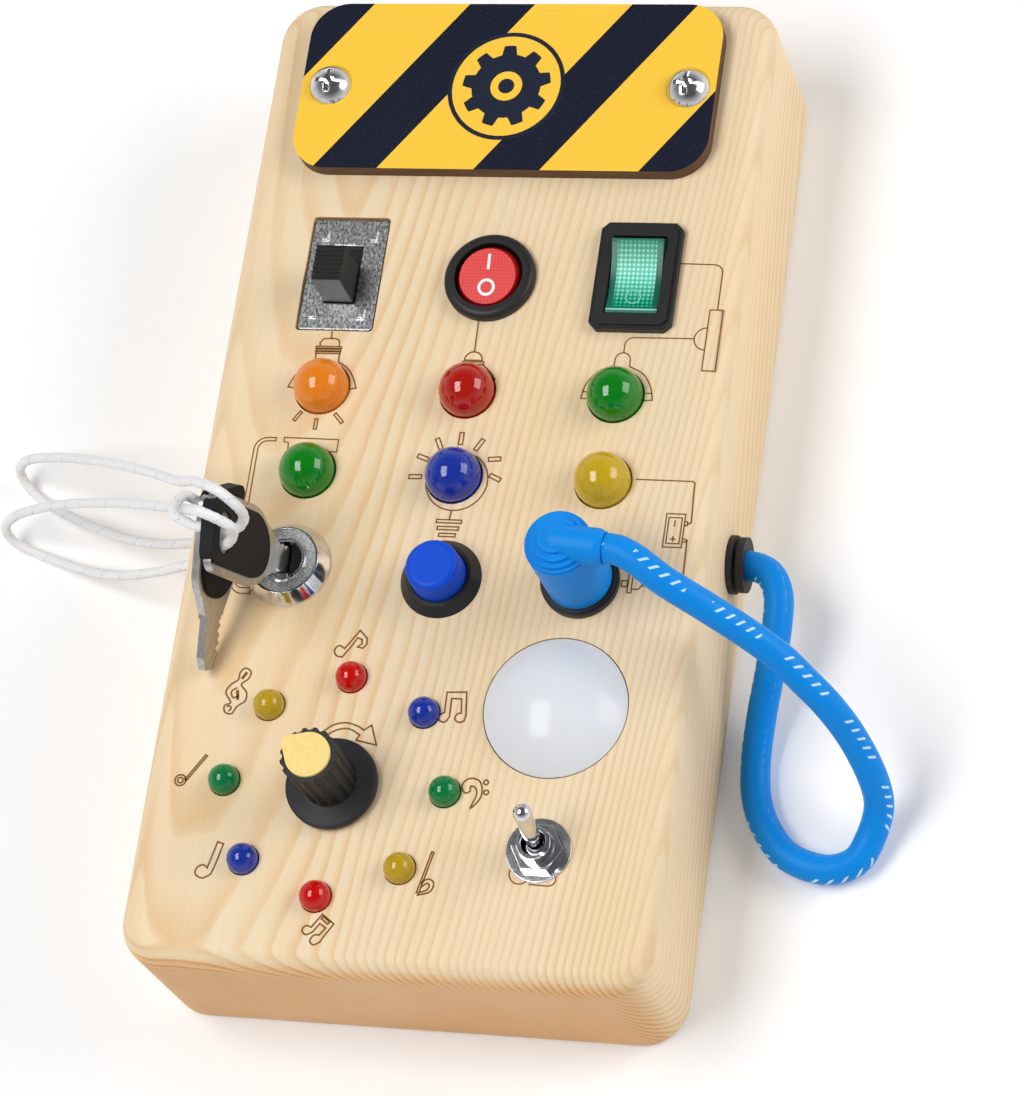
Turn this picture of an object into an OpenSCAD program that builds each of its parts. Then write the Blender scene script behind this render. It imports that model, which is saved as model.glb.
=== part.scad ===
// Wooden busy board: switches, lamps, a key lock and a plug in a small pine panel.
// It lies on its back. +Z is the way the face looks, +Y is the top, +X is the right.
// Every control is placed by its own centre, measured from the middle of the board.

/* [Board] */
// Width of the board
board_w = 95; // [93:1:110]
// Height of the board
board_h = 188; // [186:1:210]
// Thickness of the board
board_t = 32; // [31:0.5:36]
// Radius of the four corners
corner_r = 8; // [6:0.5:9]
// Rounding of the front edge
edge_r = 4; // [2:0.5:5]
// Rounding of the back edge
back_edge_r = 1; // [0.5:0.25:1.5]
// Thickness of the panel that the controls sit in
panel_t = 4.5; // [4:0.25:5.5]
// Thickness of the side walls
wall_t = 7.5; // [6.5:0.25:7.75]
// Radius in the corners of the milled cavity
cavity_r = 4; // [3:0.5:6]

/* [Back cover] */
// Thickness of the plywood cover
cover_t = 3; // [2.5:0.25:3.5]
// Rim of solid wood round the cover
rim_w = 3.5; // [3:0.25:3.75]
// Shank of the cover's countersunk screws
cover_screw_d = 2.2; // [2:0.1:2.4]
// Head of the cover's screws
cover_screw_head_d = 4.4; // [4:0.1:4.6]
// Length of the cover's screws
cover_screw_l = 10; // [8:1:14]

/* [Sign plate] */
// Width of the plate
sign_w = 78.4; // [76:0.4:82]
// Height of the plate
sign_h = 34; // [30:0.5:36]
// Thickness of the plate
sign_t = 3; // [2:0.25:4]
// Radius of the plate's corners
sign_r = 7; // [4:0.5:9]
// Shank of the plate's screws
sign_screw_d = 4; // [3.5:0.1:4.4]
// Head of the plate's screws
sign_head_d = 8.2; // [7.6:0.2:9]
// Height of the domed head
sign_head_h = 2.6; // [2:0.1:3]

/* [Slide switch] */
// Width of the steel frame
slide_w = 14; // [13:0.25:15]
// Length of the steel frame
slide_l = 22; // [21:0.25:23]
// Gap between the frame and the cut-out in the panel
slide_gap = 0.4; // [0.2:0.05:0.6]
// Width of the opening in the frame
slide_slot_w = 6; // [5.8:0.1:6.6]
// Length of the opening in the frame
slide_slot_l = 11.6; // [11.4:0.1:12.4]
// Length of the knob
slide_knob_l = 7.2; // [6.8:0.1:7.4]
// Height of the knob over the face
slide_knob_h = 8.8; // [7:0.2:10]

/* [Round rocker] */
// Outer diameter of the bezel
round_bezel_d = 16.8; // [16.4:0.2:18]
// Diameter of the rocker
round_cap_d = 12.3; // [11.9:0.1:12.5]
// Diameter of the barrel behind the panel
round_barrel_d = 14.8; // [14.4:0.1:15]

/* [Rectangular rocker] */
// Width of the bezel
rect_bezel_w = 15; // [14.6:0.2:16]
// Length of the bezel
rect_bezel_l = 21; // [20.6:0.2:22]
// Width of the rocker
rect_cap_w = 9.4; // [8.8:0.1:9.6]
// Radius of the rocker's swing
rect_cap_r = 7.5; // [7.2:0.1:7.7]

/* [Push button] */
// Outer diameter of the bezel
button_bezel_d = 14.7; // [14.2:0.1:16]
// Diameter of the cap
button_cap_d = 10; // [9.4:0.1:10.2]
// Height of the cap over the face
button_cap_h = 7.2; // [6.6:0.1:8]

/* [Toggle switch] */
// Diameter of the bushing
bushing_d = 6; // [5.8:0.1:6.4]
// Height of the bushing over the face
bushing_h = 4.3; // [3.8:0.1:5]
// Diameter of the washer
washer_d = 11.4; // [10.5:0.1:12]
// Lever above the bushing
lever_l = 10.5; // [9:0.25:12]
// Tilt of the lever to each side
lever_tilt = 11; // [8:0.5:12]

/* [Rotary switch] */
// Diameter of the knob's skirt
skirt_d = 16.4; // [16:0.2:18]
// Diameter at the foot of the fluted grip
grip_foot_d = 9.5; // [9.2:0.1:10.5]
// Diameter at the top of the fluted grip
grip_top_d = 10.1; // [9.6:0.1:10.8]
// Height of the knob over the face
knob_h = 15.6; // [14:0.2:18]
// Number of flutes round the grip
flutes = 16; // [12:1:20]
// Direction in which the pointer looks
pointer_angle = 152; // [0:1:359]

/* [Lock and keys] */
// Foot of the lock's cone
lock_foot_d = 15.6; // [15:0.1:16.6]
// Top of the lock's cone
lock_top_d = 12.6; // [12.2:0.1:13.4]
// Height of the lock over the face
lock_h = 3; // [2.5:0.1:3.5]
// Diameter of the turning plug
lock_plug_d = 8.4; // [8.3:0.05:8.8]
// Length of a key
key_l = 32; // [30:0.5:35]
// Width of a key's bow
key_bow_w = 14.2; // [13:0.2:14.6]
// Width of a key's blade
key_blade_w = 4.8; // [4.4:0.1:5]
// Thickness of a key's metal
key_t = 1.5; // [1.3:0.1:1.9]
// Thickness over a key's black cover
key_cover_t = 2.5; // [2.3:0.1:3.2]

/* [Plug and socket] */
// Outer diameter of the socket's ring
socket_ring_d = 14; // [13.4:0.1:15]
// Diameter of the plug's moulded body
plug_d = 11.8; // [11:0.1:12.4]
// Height of the plug's body over the face
plug_h = 19.8; // [18.5:0.1:21]
// Outer diameter of the plug's metal barrel
plug_pin_d = 5.5; // [5.2:0.1:5.8]
// Diameter of the power cable
cable_d = 5.3; // [5:0.1:5.6]
// Diameter of the grommet's ridges
grommet_d = 10.5; // [9.8:0.1:11.4]

/* [Lamps] */
// Diameter of the large LEDs
big_led_d = 10; // [9.6:0.1:10.4]
// Diameter of the small LEDs
small_led_d = 5.5; // [4.8:0.1:5.6]
// Radius of the ring of small LEDs
ring_r = 20; // [19:0.25:20.5]
// Diameter of the dome lamp
dome_d = 25.4; // [24:0.2:25.8]
// Rise of the dome over the face
dome_h = 5.6; // [4.5:0.2:7]

/* [Battery box] */
// Diameter of a cell
cell_d = 10.5; // [10.2:0.1:10.6]
// Length of a cell
cell_l = 44.5; // [43.5:0.1:44.8]
// Wall of the battery box
box_wall = 1.5; // [1.2:0.1:1.8]
// Thickness of the battery lid
lid_t = 2; // [1.6:0.1:2.4]

/* [Hidden] */
$fn = 64;
cut = 1;                    // how far a cutting shape runs past what it cuts
slip = 0.05;                // radial gap of a fixed piece in its hole
fit = 0.3;                  // gap round a plate in its recess

// Heights
face = board_t;
under = face - panel_t;
cavity_x = board_w / 2 - wall_t;
cavity_bottom = -(board_h / 2 - wall_t);
wire_slot = 6;              // height of the way for the wires from the battery box
cavity_top = board_h / 2 - 38;

// Places keep their share of the way from the middle to the edges of a board of this plan
plan_w = 95;
plan_h = 188;
function placed(x, y) = [x * board_w / plan_w, y * board_h / plan_h];
top = board_h / 2;

// Centres of the controls
sign_at = [-0.5, top - 19.9];
sign_screw_x = [sign_at[0] - sign_w / 2 + 5.5, sign_at[0] + sign_w / 2 - 5.2];
slide_at = placed(-26.6, 37.1);
round_at = placed(1.4, 36.6);
rect_at = placed(28.5, 37.2);
lamp_x = [for (x = [-26.8, 0.4, 27.6]) placed(x, 0)[0]];
lamp_y = [for (y = [14.4, -2]) placed(0, y)[1]];
lock_at = placed(-27.4, -20.2);
button_at = placed(1, -21.5);
plug_at = placed(26.2, -20.8);
rotary_at = [placed(-12.3, 0)[0], 33.4 - board_h / 2];
dome_at = [board_w / 2 - 22.5, placed(0, -44.3)[1]];
toggle_at = placed(25.8, -70.1);
battery_at = [-1, top - 20.5];
grommet_at = [placed(0, -9)[1], 13];
tether_y = [for (y = [-9.5, -14]) placed(0, y)[1]];
tether_z = 16;

// Small shapes used all over

module at(place, height = 0) {
    translate([place[0], place[1], face + height])
        children();
}

module rounded_square(width, height, radius) {
    square([width - 2 * radius, height], center = true);
    square([width, height - 2 * radius], center = true);
    for (x = [-1, 1])
        for (y = [-1, 1])
            translate([x * (width / 2 - radius), y * (height / 2 - radius)])
                circle(r = radius);
}

module rounded_plate(width, height, thickness, radius) {
    linear_extrude(height = thickness)
        rounded_square(width, height, radius);
}

// A profile drawn with Y across and Z up, pushed out along X
module along_x(width) {
    rotate([90, 0, 90])
        linear_extrude(height = width, center = true)
            children();
}

module hex_ring(across_flats, thickness, bore) {
    difference() {
        cylinder(d = across_flats / cos(30), h = thickness, $fn = 6);
        translate([0, 0, -cut])
            cylinder(d = bore, h = thickness + 2 * cut);
    }
}

module cross_recess(width, depth) {
    for (turn = [0, 90])
        rotate([0, 0, turn])
            translate([0, 0, -depth / 2])
                cube([width, width / 5, depth], center = true);
}

// Blades that stick out below a switch
module terminals(places, top, length, blade_w = 2.8, blade_t = 0.8) {
    for (place = places)
        translate([place[0], place[1], top - length / 2])
            cube([blade_w, blade_t, length], center = true);
}

// Board

module edge_profile() {
    square([corner_r - back_edge_r, board_t - edge_r]);
    translate([0, back_edge_r])
        square([corner_r, board_t - edge_r - back_edge_r]);
    square([corner_r - edge_r, board_t]);
    translate([corner_r - edge_r, board_t - edge_r])
        circle(r = edge_r);
    translate([corner_r - back_edge_r, back_edge_r])
        circle(r = back_edge_r);
}

module edge_strip(length) {
    rotate([90, 0, 0])
        linear_extrude(height = length, center = true)
            edge_profile();
}

module board_blank() {
    inner_w = board_w - 2 * corner_r;
    inner_h = board_h - 2 * corner_r;
    translate([0, 0, board_t / 2])
        cube([inner_w, inner_h, board_t], center = true);
    for (side = [0, 180])
        rotate([0, 0, side]) {
            translate([inner_w / 2, 0, 0])
                edge_strip(inner_h);
            rotate([0, 0, 90])
                translate([inner_h / 2, 0, 0])
                    edge_strip(inner_w);
            translate([inner_w / 2, inner_h / 2, 0])
                rotate_extrude(angle = 90)
                    edge_profile();
            translate([-inner_w / 2, inner_h / 2, 0])
                rotate([0, 0, 90])
                    rotate_extrude(angle = 90)
                        edge_profile();
        }
}

module panel_hole(place, diameter) {
    at(place, -panel_t - cut)
        cylinder(d = diameter, h = panel_t + 2 * cut);
}

module board_cavity() {
    cavity_h = cavity_top - cavity_bottom;
    translate([0, (cavity_top + cavity_bottom) / 2, cover_t - cut])
        rounded_plate(2 * cavity_x, cavity_h, under - cover_t + cut, cavity_r);
    translate([0, 0, -cut])
        rounded_plate(board_w - 2 * rim_w, board_h - 2 * rim_w, cover_t + cut, corner_r - rim_w);
    translate([battery_at[0], battery_at[1], -cut]) {
        rounded_plate(box_w + 2 * box_flange + 2 * fit, box_h + 2 * box_flange + 2 * fit,
            cover_t + box_flange_t + cut, 2);
        rounded_plate(box_w + 2 * fit, box_h + 2 * fit, box_depth + cut, 2);
    }
    translate([battery_at[0], cavity_top, cover_t + wire_slot / 2])
        cube([wire_slot + 2, 2 * wire_slot + 2, wire_slot], center = true);
    // room for the ears of the slide switch, where the cavity ends close to them
    at(slide_at, -slide_deep - fit)
        rounded_plate(slide_w + 2 * fit, slide_l + 2 * slide_ear + 2 * fit,
            slide_deep + fit - panel_t, 1);
}

module board_holes() {
    for (x = sign_screw_x)
        at([x, sign_at[1]], -sign_screw_l - cut)
            cylinder(d = sign_screw_d + 2 * slip, h = sign_screw_l + 2 * cut);
    for (place = cover_screw_places)
        translate([place[0], place[1], 0])
            cylinder(d = cover_screw_d + 2 * slip, h = cover_screw_l + fit);
    at(slide_at, -panel_t - cut)
        rounded_plate(slide_w + 2 * slide_gap, slide_l + 2 * slide_gap, panel_t + 2 * cut, 0.8);
    panel_hole(round_at, round_barrel_d + 0.2);
    at(rect_at, -panel_t - cut)
        rounded_plate(rect_body_w + 0.2, rect_body_l + 0.2, panel_t + 2 * cut, 0.5);
    for (x = lamp_x)
        for (y = lamp_y)
            panel_hole([x, y], big_led_d + 0.5);
    for (turn = [0:45:315])
        panel_hole(on_ring(turn), small_led_d + 0.3);
    panel_hole(lock_at, lock_barrel_d + 0.2);
    panel_hole(button_at, button_barrel_d + 0.2);
    panel_hole(plug_at, socket_barrel_d + 0.2);
    panel_hole(rotary_at, rotary_bushing_d + 0.2);
    panel_hole(dome_at, dome_d + 0.4);
    panel_hole(toggle_at, bushing_d + 0.2);
    translate([cavity_x - cut, grommet_at[0], grommet_at[1]])
        rotate([0, 90, 0])
            cylinder(d = grommet_neck_d + 2 * slip, h = wall_t + 2 * cut);
    for (y = tether_y)
        translate([-board_w / 2 - cut, y, tether_z])
            rotate([0, 90, 0])
                cylinder(d = tether_hole_d, h = wall_t + 2 * cut);
}

tether_hole_d = 3;

module board_body() {
    color("burlywood")
        difference() {
            board_blank();
            board_cavity();
            board_holes();
        }
}

// Back cover

cover_w = board_w - 2 * rim_w - 2 * fit;
cover_h = board_h - 2 * rim_w - 2 * fit;
cover_screw_x = (cavity_x + cover_w / 2) / 2 - 0.2;
cover_screw_inset = 14;
cover_screw_y = board_h / 2 - cover_screw_inset;
cover_screw_places = [for (x = [-1, 1]) for (y = [-1, 0, 1]) [x * cover_screw_x, y * cover_screw_y]];
cover_screw_cone = 1.4;

module cover_screw(gap) {
    cylinder(d1 = cover_screw_head_d + 2 * gap, d2 = cover_screw_d + 2 * gap, h = cover_screw_cone);
    cylinder(d = cover_screw_d + 2 * gap, h = cover_screw_l);
}

module back_cover() {
    color("wheat")
        difference() {
            rounded_plate(cover_w, cover_h, cover_t, corner_r - rim_w - fit);
            translate([battery_at[0], battery_at[1], -cut])
                rounded_plate(box_w + 2 * fit, box_h + 2 * fit, cover_t + 2 * cut, 1.5);
            for (place = cover_screw_places)
                translate([place[0], place[1], 0])
                    cover_screw(slip);
        }
}

module back_cover_screws() {
    color("silver")
        for (place = cover_screw_places)
            translate([place[0], place[1], 0])
                difference() {
                    cover_screw(0);
                    mirror([0, 0, 1])
                        cross_recess(2.2, 0.8);
                }
}

// Sign plate

sign_screw_l = 9;

module sign_plate() {
    color("gold")
        difference() {
            at(sign_at)
                rounded_plate(sign_w, sign_h, sign_t, sign_r);
            for (x = sign_screw_x)
                at([x, sign_at[1]], -cut)
                    cylinder(d = sign_screw_d + 2 * slip, h = sign_t + 2 * cut);
        }
}

module sign_screws() {
    head_r = sign_head_d / 2;
    ball_r = (head_r * head_r + sign_head_h * sign_head_h) / (2 * sign_head_h);
    color("silver")
        for (x = sign_screw_x)
            at([x, sign_at[1]], sign_t)
                difference() {
                    union() {
                        intersection() {
                            translate([0, 0, sign_head_h - ball_r])
                                sphere(r = ball_r);
                            cylinder(r = head_r, h = sign_head_h + cut);
                        }
                        translate([0, 0, -sign_t - sign_screw_l])
                            cylinder(d = sign_screw_d, h = sign_t + sign_screw_l + cut);
                    }
                    translate([0, 0, sign_head_h])
                        cross_recess(4.6, 1.6);
                }
}

// Slide switch

slide_sink = 0.35;          // how far the frame lies below the face
slide_sheet = 0.5;
slide_deep = 8.5;           // depth of the frame under the face
slide_ear = 4.5;
slide_travel = slide_slot_l - slide_knob_l - 0.4;
slide_inner_w = slide_w - 2 * slide_sheet;
slide_inner_l = slide_l - 2 * slide_sheet;
slide_base_t = 1.5;

module slide_switch_frame() {
    color("silver")
        at(slide_at)
            difference() {
                union() {
                    translate([0, 0, -slide_deep])
                        rounded_plate(slide_w, slide_l, slide_deep - slide_sink, 0.6);
                    translate([0, 0, -panel_t - slide_sheet])
                        rounded_plate(slide_w, slide_l + 2 * slide_ear, slide_sheet, 1);
                    for (x = [-1, 1])
                        for (y = [-1, 1])
                            translate([x * 4.6, y * 7.8, -slide_sink])
                                cube([1.3, 2, 0.7], center = true);
                }
                translate([0, 0, -slide_deep - cut])
                    rounded_plate(slide_inner_w, slide_inner_l,
                        slide_deep + cut - slide_sink - slide_sheet, 0.3);
                translate([0, 0, -slide_sink - slide_sheet - cut])
                    rounded_plate(slide_slot_w, slide_slot_l, slide_sheet + 2 * cut, 0.3);
            }
}

module slide_switch_base() {
    color("sienna")
        at(slide_at, -slide_deep) {
            rounded_plate(slide_inner_w - 2 * slip, slide_inner_l - 2 * slip, slide_base_t, 0.3);
            terminals([for (x = [-1, 1]) for (y = [-1, 0, 1]) [x * 3, y * 4.5]], 0, 4, 1.6, 0.5);
        }
}

// Side view of the knob: straight sides that taper, and ribs across the top
function knob_side(half_foot, half_top, height, ribs) = concat(
    [[-half_foot, 0], [half_foot, 0]],
    [for (i = [0:2 * ribs]) [half_top - i * half_top / ribs, height - (i % 2) * 0.45]]
);

module slide_knob() {
    carriage_l = slide_inner_l - slide_travel - 0.4;
    carriage_top = -slide_sink - slide_sheet - 0.1;
    color("dimgray")
        at(slide_at)
            translate([0, -slide_travel / 2, carriage_top]) {
                along_x(slide_slot_w - 0.6)
                    polygon(knob_side(slide_knob_l / 2, slide_knob_l / 2 - 0.2,
                        slide_knob_h - carriage_top, 8));
                translate([0, 0, -2])
                    rounded_plate(slide_inner_w - 2, carriage_l, 2, 0.5);
            }
}

// Round rocker

rocker_tilt = 8;
round_opening_d = round_cap_d + 0.3;
round_pivot = -1;
round_bezel_h = 2;
round_deep = 14;
trunnion_d = 2;

module bezel_ring(outer_d, inner_d, height, round_r) {
    rotate_extrude()
        difference() {
            union() {
                translate([inner_d / 2, 0])
                    square([(outer_d - inner_d) / 2, height - round_r]);
                translate([inner_d / 2, 0])
                    square([(outer_d - inner_d) / 2 - round_r, height]);
                translate([outer_d / 2 - round_r, height - round_r])
                    circle(r = round_r);
            }
            translate([-outer_d, -outer_d])
                square([2 * outer_d, outer_d]);
        }
}

module trunnions(length, diameter) {
    rotate([0, 90, 0])
        cylinder(d = diameter, h = length, center = true);
}

module round_rocker_housing() {
    color("black")
        at(round_at)
            difference() {
                union() {
                    bezel_ring(round_bezel_d, round_opening_d - 2, round_bezel_h, 1.2);
                    translate([0, 0, -round_deep])
                        cylinder(d = round_barrel_d, h = round_deep);
                    terminals([[-3.5, -3], [0, 3], [3.5, -3]], -round_deep, 8);
                }
                translate([0, 0, -7])
                    cylinder(d = round_opening_d, h = 7 + round_bezel_h + cut);
                translate([0, 0, round_pivot])
                    trunnions(round_barrel_d - 0.6, trunnion_d + 2 * slip);
            }
}

module round_rocker_cap() {
    color("red")
        at(round_at, round_pivot)
            rotate([rocker_tilt, 0, 0]) {
                intersection() {
                    sphere(d = round_cap_d);
                    translate([0, 0, -0.35])
                        cube([round_cap_d, round_cap_d, 7.3], center = true);
                }
                trunnions(round_barrel_d - 1, trunnion_d);
            }
}

// Rectangular rocker

rect_body_w = rect_bezel_w - 2.2;
rect_body_l = rect_bezel_l - 2.2;
rect_pivot = -0.5;
rect_bezel_h = 2;
rect_deep = 14;
rect_end = 2.94;            // height of the rocker's ends over its pivot
rect_sag = 1.1;             // depth of the hollow between its ends
rect_hollow = 6.2;          // half length of the hollow

module chamfered_square(width, length, chamfer) {
    polygon([for (turn = [0:3]) each let (
        w = (turn % 2 == 0 ? width : length) / 2,
        l = (turn % 2 == 0 ? length : width) / 2,
        c = cos(90 * turn), s = sin(90 * turn)
    ) [for (p = [[w, l - chamfer], [w - chamfer, l]]) [p[0] * c - p[1] * s, p[0] * s + p[1] * c]]]);
}

module rect_rocker_housing() {
    color("black")
        at(rect_at)
            difference() {
                union() {
                    linear_extrude(height = rect_bezel_h - 0.6)
                        chamfered_square(rect_bezel_w, rect_bezel_l, 1.3);
                    linear_extrude(height = rect_bezel_h)
                        chamfered_square(rect_bezel_w - 1.6, rect_bezel_l - 1.6, 1);
                    translate([0, 0, -rect_deep])
                        rounded_plate(rect_body_w, rect_body_l, rect_deep, 0.4);
                    terminals([[0, -5.5], [0, 0], [0, 5.5]], -rect_deep, 8, 4.8);
                }
                translate([0, 0, -9])
                    rounded_plate(rect_cap_w + 0.4, 2 * rect_cap_r + 0.3, 9 + rect_bezel_h + cut, 0.2);
                translate([0, 0, rect_pivot])
                    trunnions(rect_body_w - 0.8, trunnion_d + 2 * slip);
            }
}

module rect_rocker_cap() {
    hollow_r = (rect_hollow * rect_hollow + rect_sag * rect_sag) / (2 * rect_sag);
    color("limegreen")
        at(rect_at, rect_pivot)
            rotate([rocker_tilt, 0, 0]) {
                along_x(rect_cap_w)
                    difference() {
                        intersection() {
                            circle(r = rect_cap_r);
                            translate([-rect_cap_r, -4])
                                square([2 * rect_cap_r, 4 + rect_end]);
                        }
                        translate([0, rect_end - rect_sag + hollow_r])
                            circle(r = hollow_r);
                    }
                trunnions(rect_body_w - 1.2, trunnion_d);
            }
}

// Push button

button_barrel_d = button_bezel_d - 2.3;
button_bezel_h = 2;
button_deep = 14;
button_floor = -12.5;
button_lip = -0.8;          // underside of the lip that keeps the cap in
button_flange_d = button_cap_d + 0.9;
button_flange_t = 1.3;
button_foot = button_lip - 0.1 - button_flange_t;
spring_wire = 0.7;
spring_d = 7;

module push_button_housing() {
    color("black")
        at(button_at)
            difference() {
                union() {
                    cylinder(d1 = button_bezel_d, d2 = button_bezel_d - 2.9, h = button_bezel_h);
                    translate([0, 0, -button_deep])
                        cylinder(d = button_barrel_d, h = button_deep);
                    terminals([[-3, 0], [3, 0]], -button_deep, 6, 0.8, 2.8);
                }
                translate([0, 0, button_lip - cut])
                    cylinder(d = button_cap_d + 0.3, h = button_bezel_h - button_lip + 2 * cut);
                translate([0, 0, button_floor])
                    cylinder(d = button_flange_d + 0.2, h = button_lip - button_floor);
            }
}

module push_button_nut() {
    color("silver")
        at(button_at, -panel_t - 2.2)
            hex_ring(15, 2.2, button_barrel_d + 2 * slip);
}

module push_button_cap() {
    top_r = 1.2;
    color("royalblue")
        at(button_at) {
            translate([0, 0, button_foot])
                cylinder(d = button_flange_d, h = button_flange_t);
            translate([0, 0, button_foot])
                cylinder(d = button_cap_d, h = button_bezel_h - button_foot);
            translate([0, 0, button_bezel_h])
                cylinder(d1 = button_cap_d, d2 = button_cap_d - 0.4,
                    h = button_cap_h - button_bezel_h - top_r);
            translate([0, 0, button_cap_h - top_r])
                rotate_extrude()
                    intersection() {
                        union() {
                            translate([button_cap_d / 2 - 0.2 - top_r, 0])
                                circle(r = top_r);
                            square([button_cap_d / 2 - 0.2 - top_r, top_r]);
                        }
                        square([button_cap_d, top_r]);
                    }
        }
}

function coil_points(radius, height, turns, steps) = [
    for (i = [0:turns * steps])
        [radius * cos(360 * i / steps), radius * sin(360 * i / steps), height * i / (turns * steps)]
];

module push_button_spring() {
    color("silver")
        at(button_at, button_floor + spring_wire / 2 + 0.02)
            tube(coil_points(spring_d / 2, button_foot - button_floor - spring_wire - 0.04, 5, 12),
                spring_wire, 6);
}

// Toggle switch

toggle_deep = 11.5;
toggle_body_w = 13.2;
toggle_body_l = 7.9;
toggle_washer_t = 0.4;
toggle_nut_t = 1.6;
toggle_nut_w = 8;
toggle_pivot = 1.5;
toggle_bore_d = bushing_d - 1.6;
toggle_ball_d = toggle_bore_d - 0.2;

module toggle_housing() {
    color("silver")
        at(toggle_at)
            difference() {
                union() {
                    translate([0, 0, -panel_t - toggle_deep])
                        rounded_plate(toggle_body_w, toggle_body_l, toggle_deep, 0.4);
                    translate([0, 0, -panel_t])
                        cylinder(d = bushing_d, h = panel_t + bushing_h);
                    terminals([[-4.7, 0], [0, 0], [4.7, 0]], -panel_t - toggle_deep, 4, 0.8, 2);
                }
                translate([0, 0, -4])
                    cylinder(d = toggle_bore_d, h = 4 + bushing_h + cut);
            }
}

module toggle_washer() {
    color("silver")
        at(toggle_at)
            difference() {
                cylinder(d = washer_d, h = toggle_washer_t);
                translate([0, 0, -cut])
                    cylinder(d = bushing_d + 2 * slip, h = toggle_washer_t + 2 * cut);
            }
}

module toggle_nut() {
    color("silver")
        at(toggle_at, toggle_washer_t)
            hex_ring(toggle_nut_w, toggle_nut_t, bushing_d + 2 * slip);
}

module toggle_lever() {
    tip_r = 1.65;
    reach = bushing_h - toggle_pivot + lever_l - tip_r;
    color("silver")
        at(toggle_at, toggle_pivot)
            rotate([-lever_tilt, 0, 0]) {
                sphere(d = toggle_ball_d);
                cylinder(r1 = 1.3, r2 = tip_r, h = reach);
                translate([0, 0, reach])
                    sphere(r = tip_r);
                translate([0, 0, -3])
                    cylinder(d = 2.2, h = 3);
            }
}

// Rotary switch and its knob

rotary_bushing_d = 7;
rotary_shaft_d = 6;
rotary_deep = 9;
rotary_nut_t = 1.4;
skirt_z = 0.5;              // gap under the knob
skirt_t = 2.5;
skirt_edge = 1.3;            // height of the skirt's rim
knob_bore_d = rotary_shaft_d + 2 * slip;
shaft_flat = 4.5;           // distance from the shaft's flat to its far side

module rotary_switch_body() {
    color("dimgray")
        at(rotary_at)
            difference() {
                union() {
                    translate([0, 0, -panel_t - rotary_deep])
                        cylinder(d = 16, h = rotary_deep);
                    translate([0, 0, -panel_t])
                        cylinder(d = rotary_bushing_d, h = panel_t + rotary_nut_t + 0.2);
                    terminals([for (turn = [30:60:330]) [6 * cos(turn), 6 * sin(turn)]],
                        -panel_t - rotary_deep, 4, 0.8, 0.8);
                }
                translate([0, 0, -panel_t - rotary_deep + 1.4])
                    cylinder(d = knob_bore_d, h = panel_t + rotary_deep + 4);
            }
}

module rotary_switch_nut() {
    color("silver")
        at(rotary_at)
            hex_ring(10, rotary_nut_t, rotary_bushing_d + 2 * slip);
}

module shaft_section(diameter, flat) {
    difference() {
        circle(d = diameter);
        translate([flat - diameter / 2, -diameter])
            square([diameter, 2 * diameter]);
    }
}

module rotary_shaft() {
    bottom = -panel_t - rotary_deep + 1.5;
    color("silver")
        at(rotary_at)
            rotate([0, 0, pointer_angle]) {
                translate([0, 0, bottom])
                    cylinder(d = rotary_shaft_d, h = 4 - bottom);
                translate([0, 0, 4])
                    linear_extrude(height = knob_h - 3 - 4)
                        shaft_section(rotary_shaft_d, shaft_flat);
            }
}

module grip() {
    grip_z = skirt_z + skirt_t;
    lean = atan((grip_foot_d - grip_top_d) / 2 / (knob_h - grip_z));
    flute_d = 3.14 * grip_foot_d / flutes * 0.8;
    difference() {
        union() {
            translate([0, 0, skirt_z + 0.6])
                cylinder(d = grip_foot_d, h = skirt_t - 0.6);
            translate([0, 0, grip_z])
                cylinder(d1 = grip_foot_d, d2 = grip_top_d, h = knob_h - grip_z);
        }
        for (i = [0:flutes - 1])
            rotate([0, 0, 360 * (i + 0.5) / flutes])
                translate([grip_foot_d / 2 + flute_d * 0.2, 0, grip_z])
                    rotate([0, -lean, 0])
                        cylinder(d = flute_d, h = 2 * knob_h);
    }
}

module knob() {
    recess_d = 10 / cos(30) + 0.5;
    color("black")
        at(rotary_at)
            rotate([0, 0, pointer_angle])
                difference() {
                    union() {
                        translate([0, 0, skirt_z])
                            rotate_extrude()
                                polygon([[0, 0], [skirt_d / 2 - 0.4, 0], [skirt_d / 2, 0.4],
                                    [skirt_d / 2, skirt_edge], [skirt_d / 2 - 0.4, skirt_edge + 0.2],
                                    [skirt_d / 2 - 1.9, skirt_t - 0.5],
                                    [grip_foot_d / 2 + 0.2, skirt_t], [0, skirt_t]]);
                        grip();
                    }
                    translate([0, 0, skirt_z - cut])
                        cylinder(d = recess_d, h = 1.3 + cut);
                    translate([0, 0, skirt_z])
                        cylinder(d = knob_bore_d, h = 4 - skirt_z);
                    translate([0, 0, 3.9])
                        linear_extrude(height = knob_h - 3 - 3.9 + 0.1)
                            shaft_section(knob_bore_d, shaft_flat + 2 * slip);
                }
}

module knob_cap() {
    cap_r = 4;
    tip = 5.4;
    tip_w = 1.3;
    color("lemonchiffon")
        at(rotary_at, knob_h)
            rotate([0, 0, pointer_angle])
                linear_extrude(height = 0.6) {
                    circle(r = cap_r);
                    polygon([[0, 0], [cap_r * 0.69, -cap_r * 0.72], [tip, -tip_w / 2],
                        [tip, tip_w / 2], [cap_r * 0.69, cap_r * 0.72]]);
                }
}

// Lock

lock_barrel_d = 12;
lock_deep = 13;
lock_bore_d = lock_plug_d + 2 * slip;
lock_face_t = 0.5;

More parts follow.
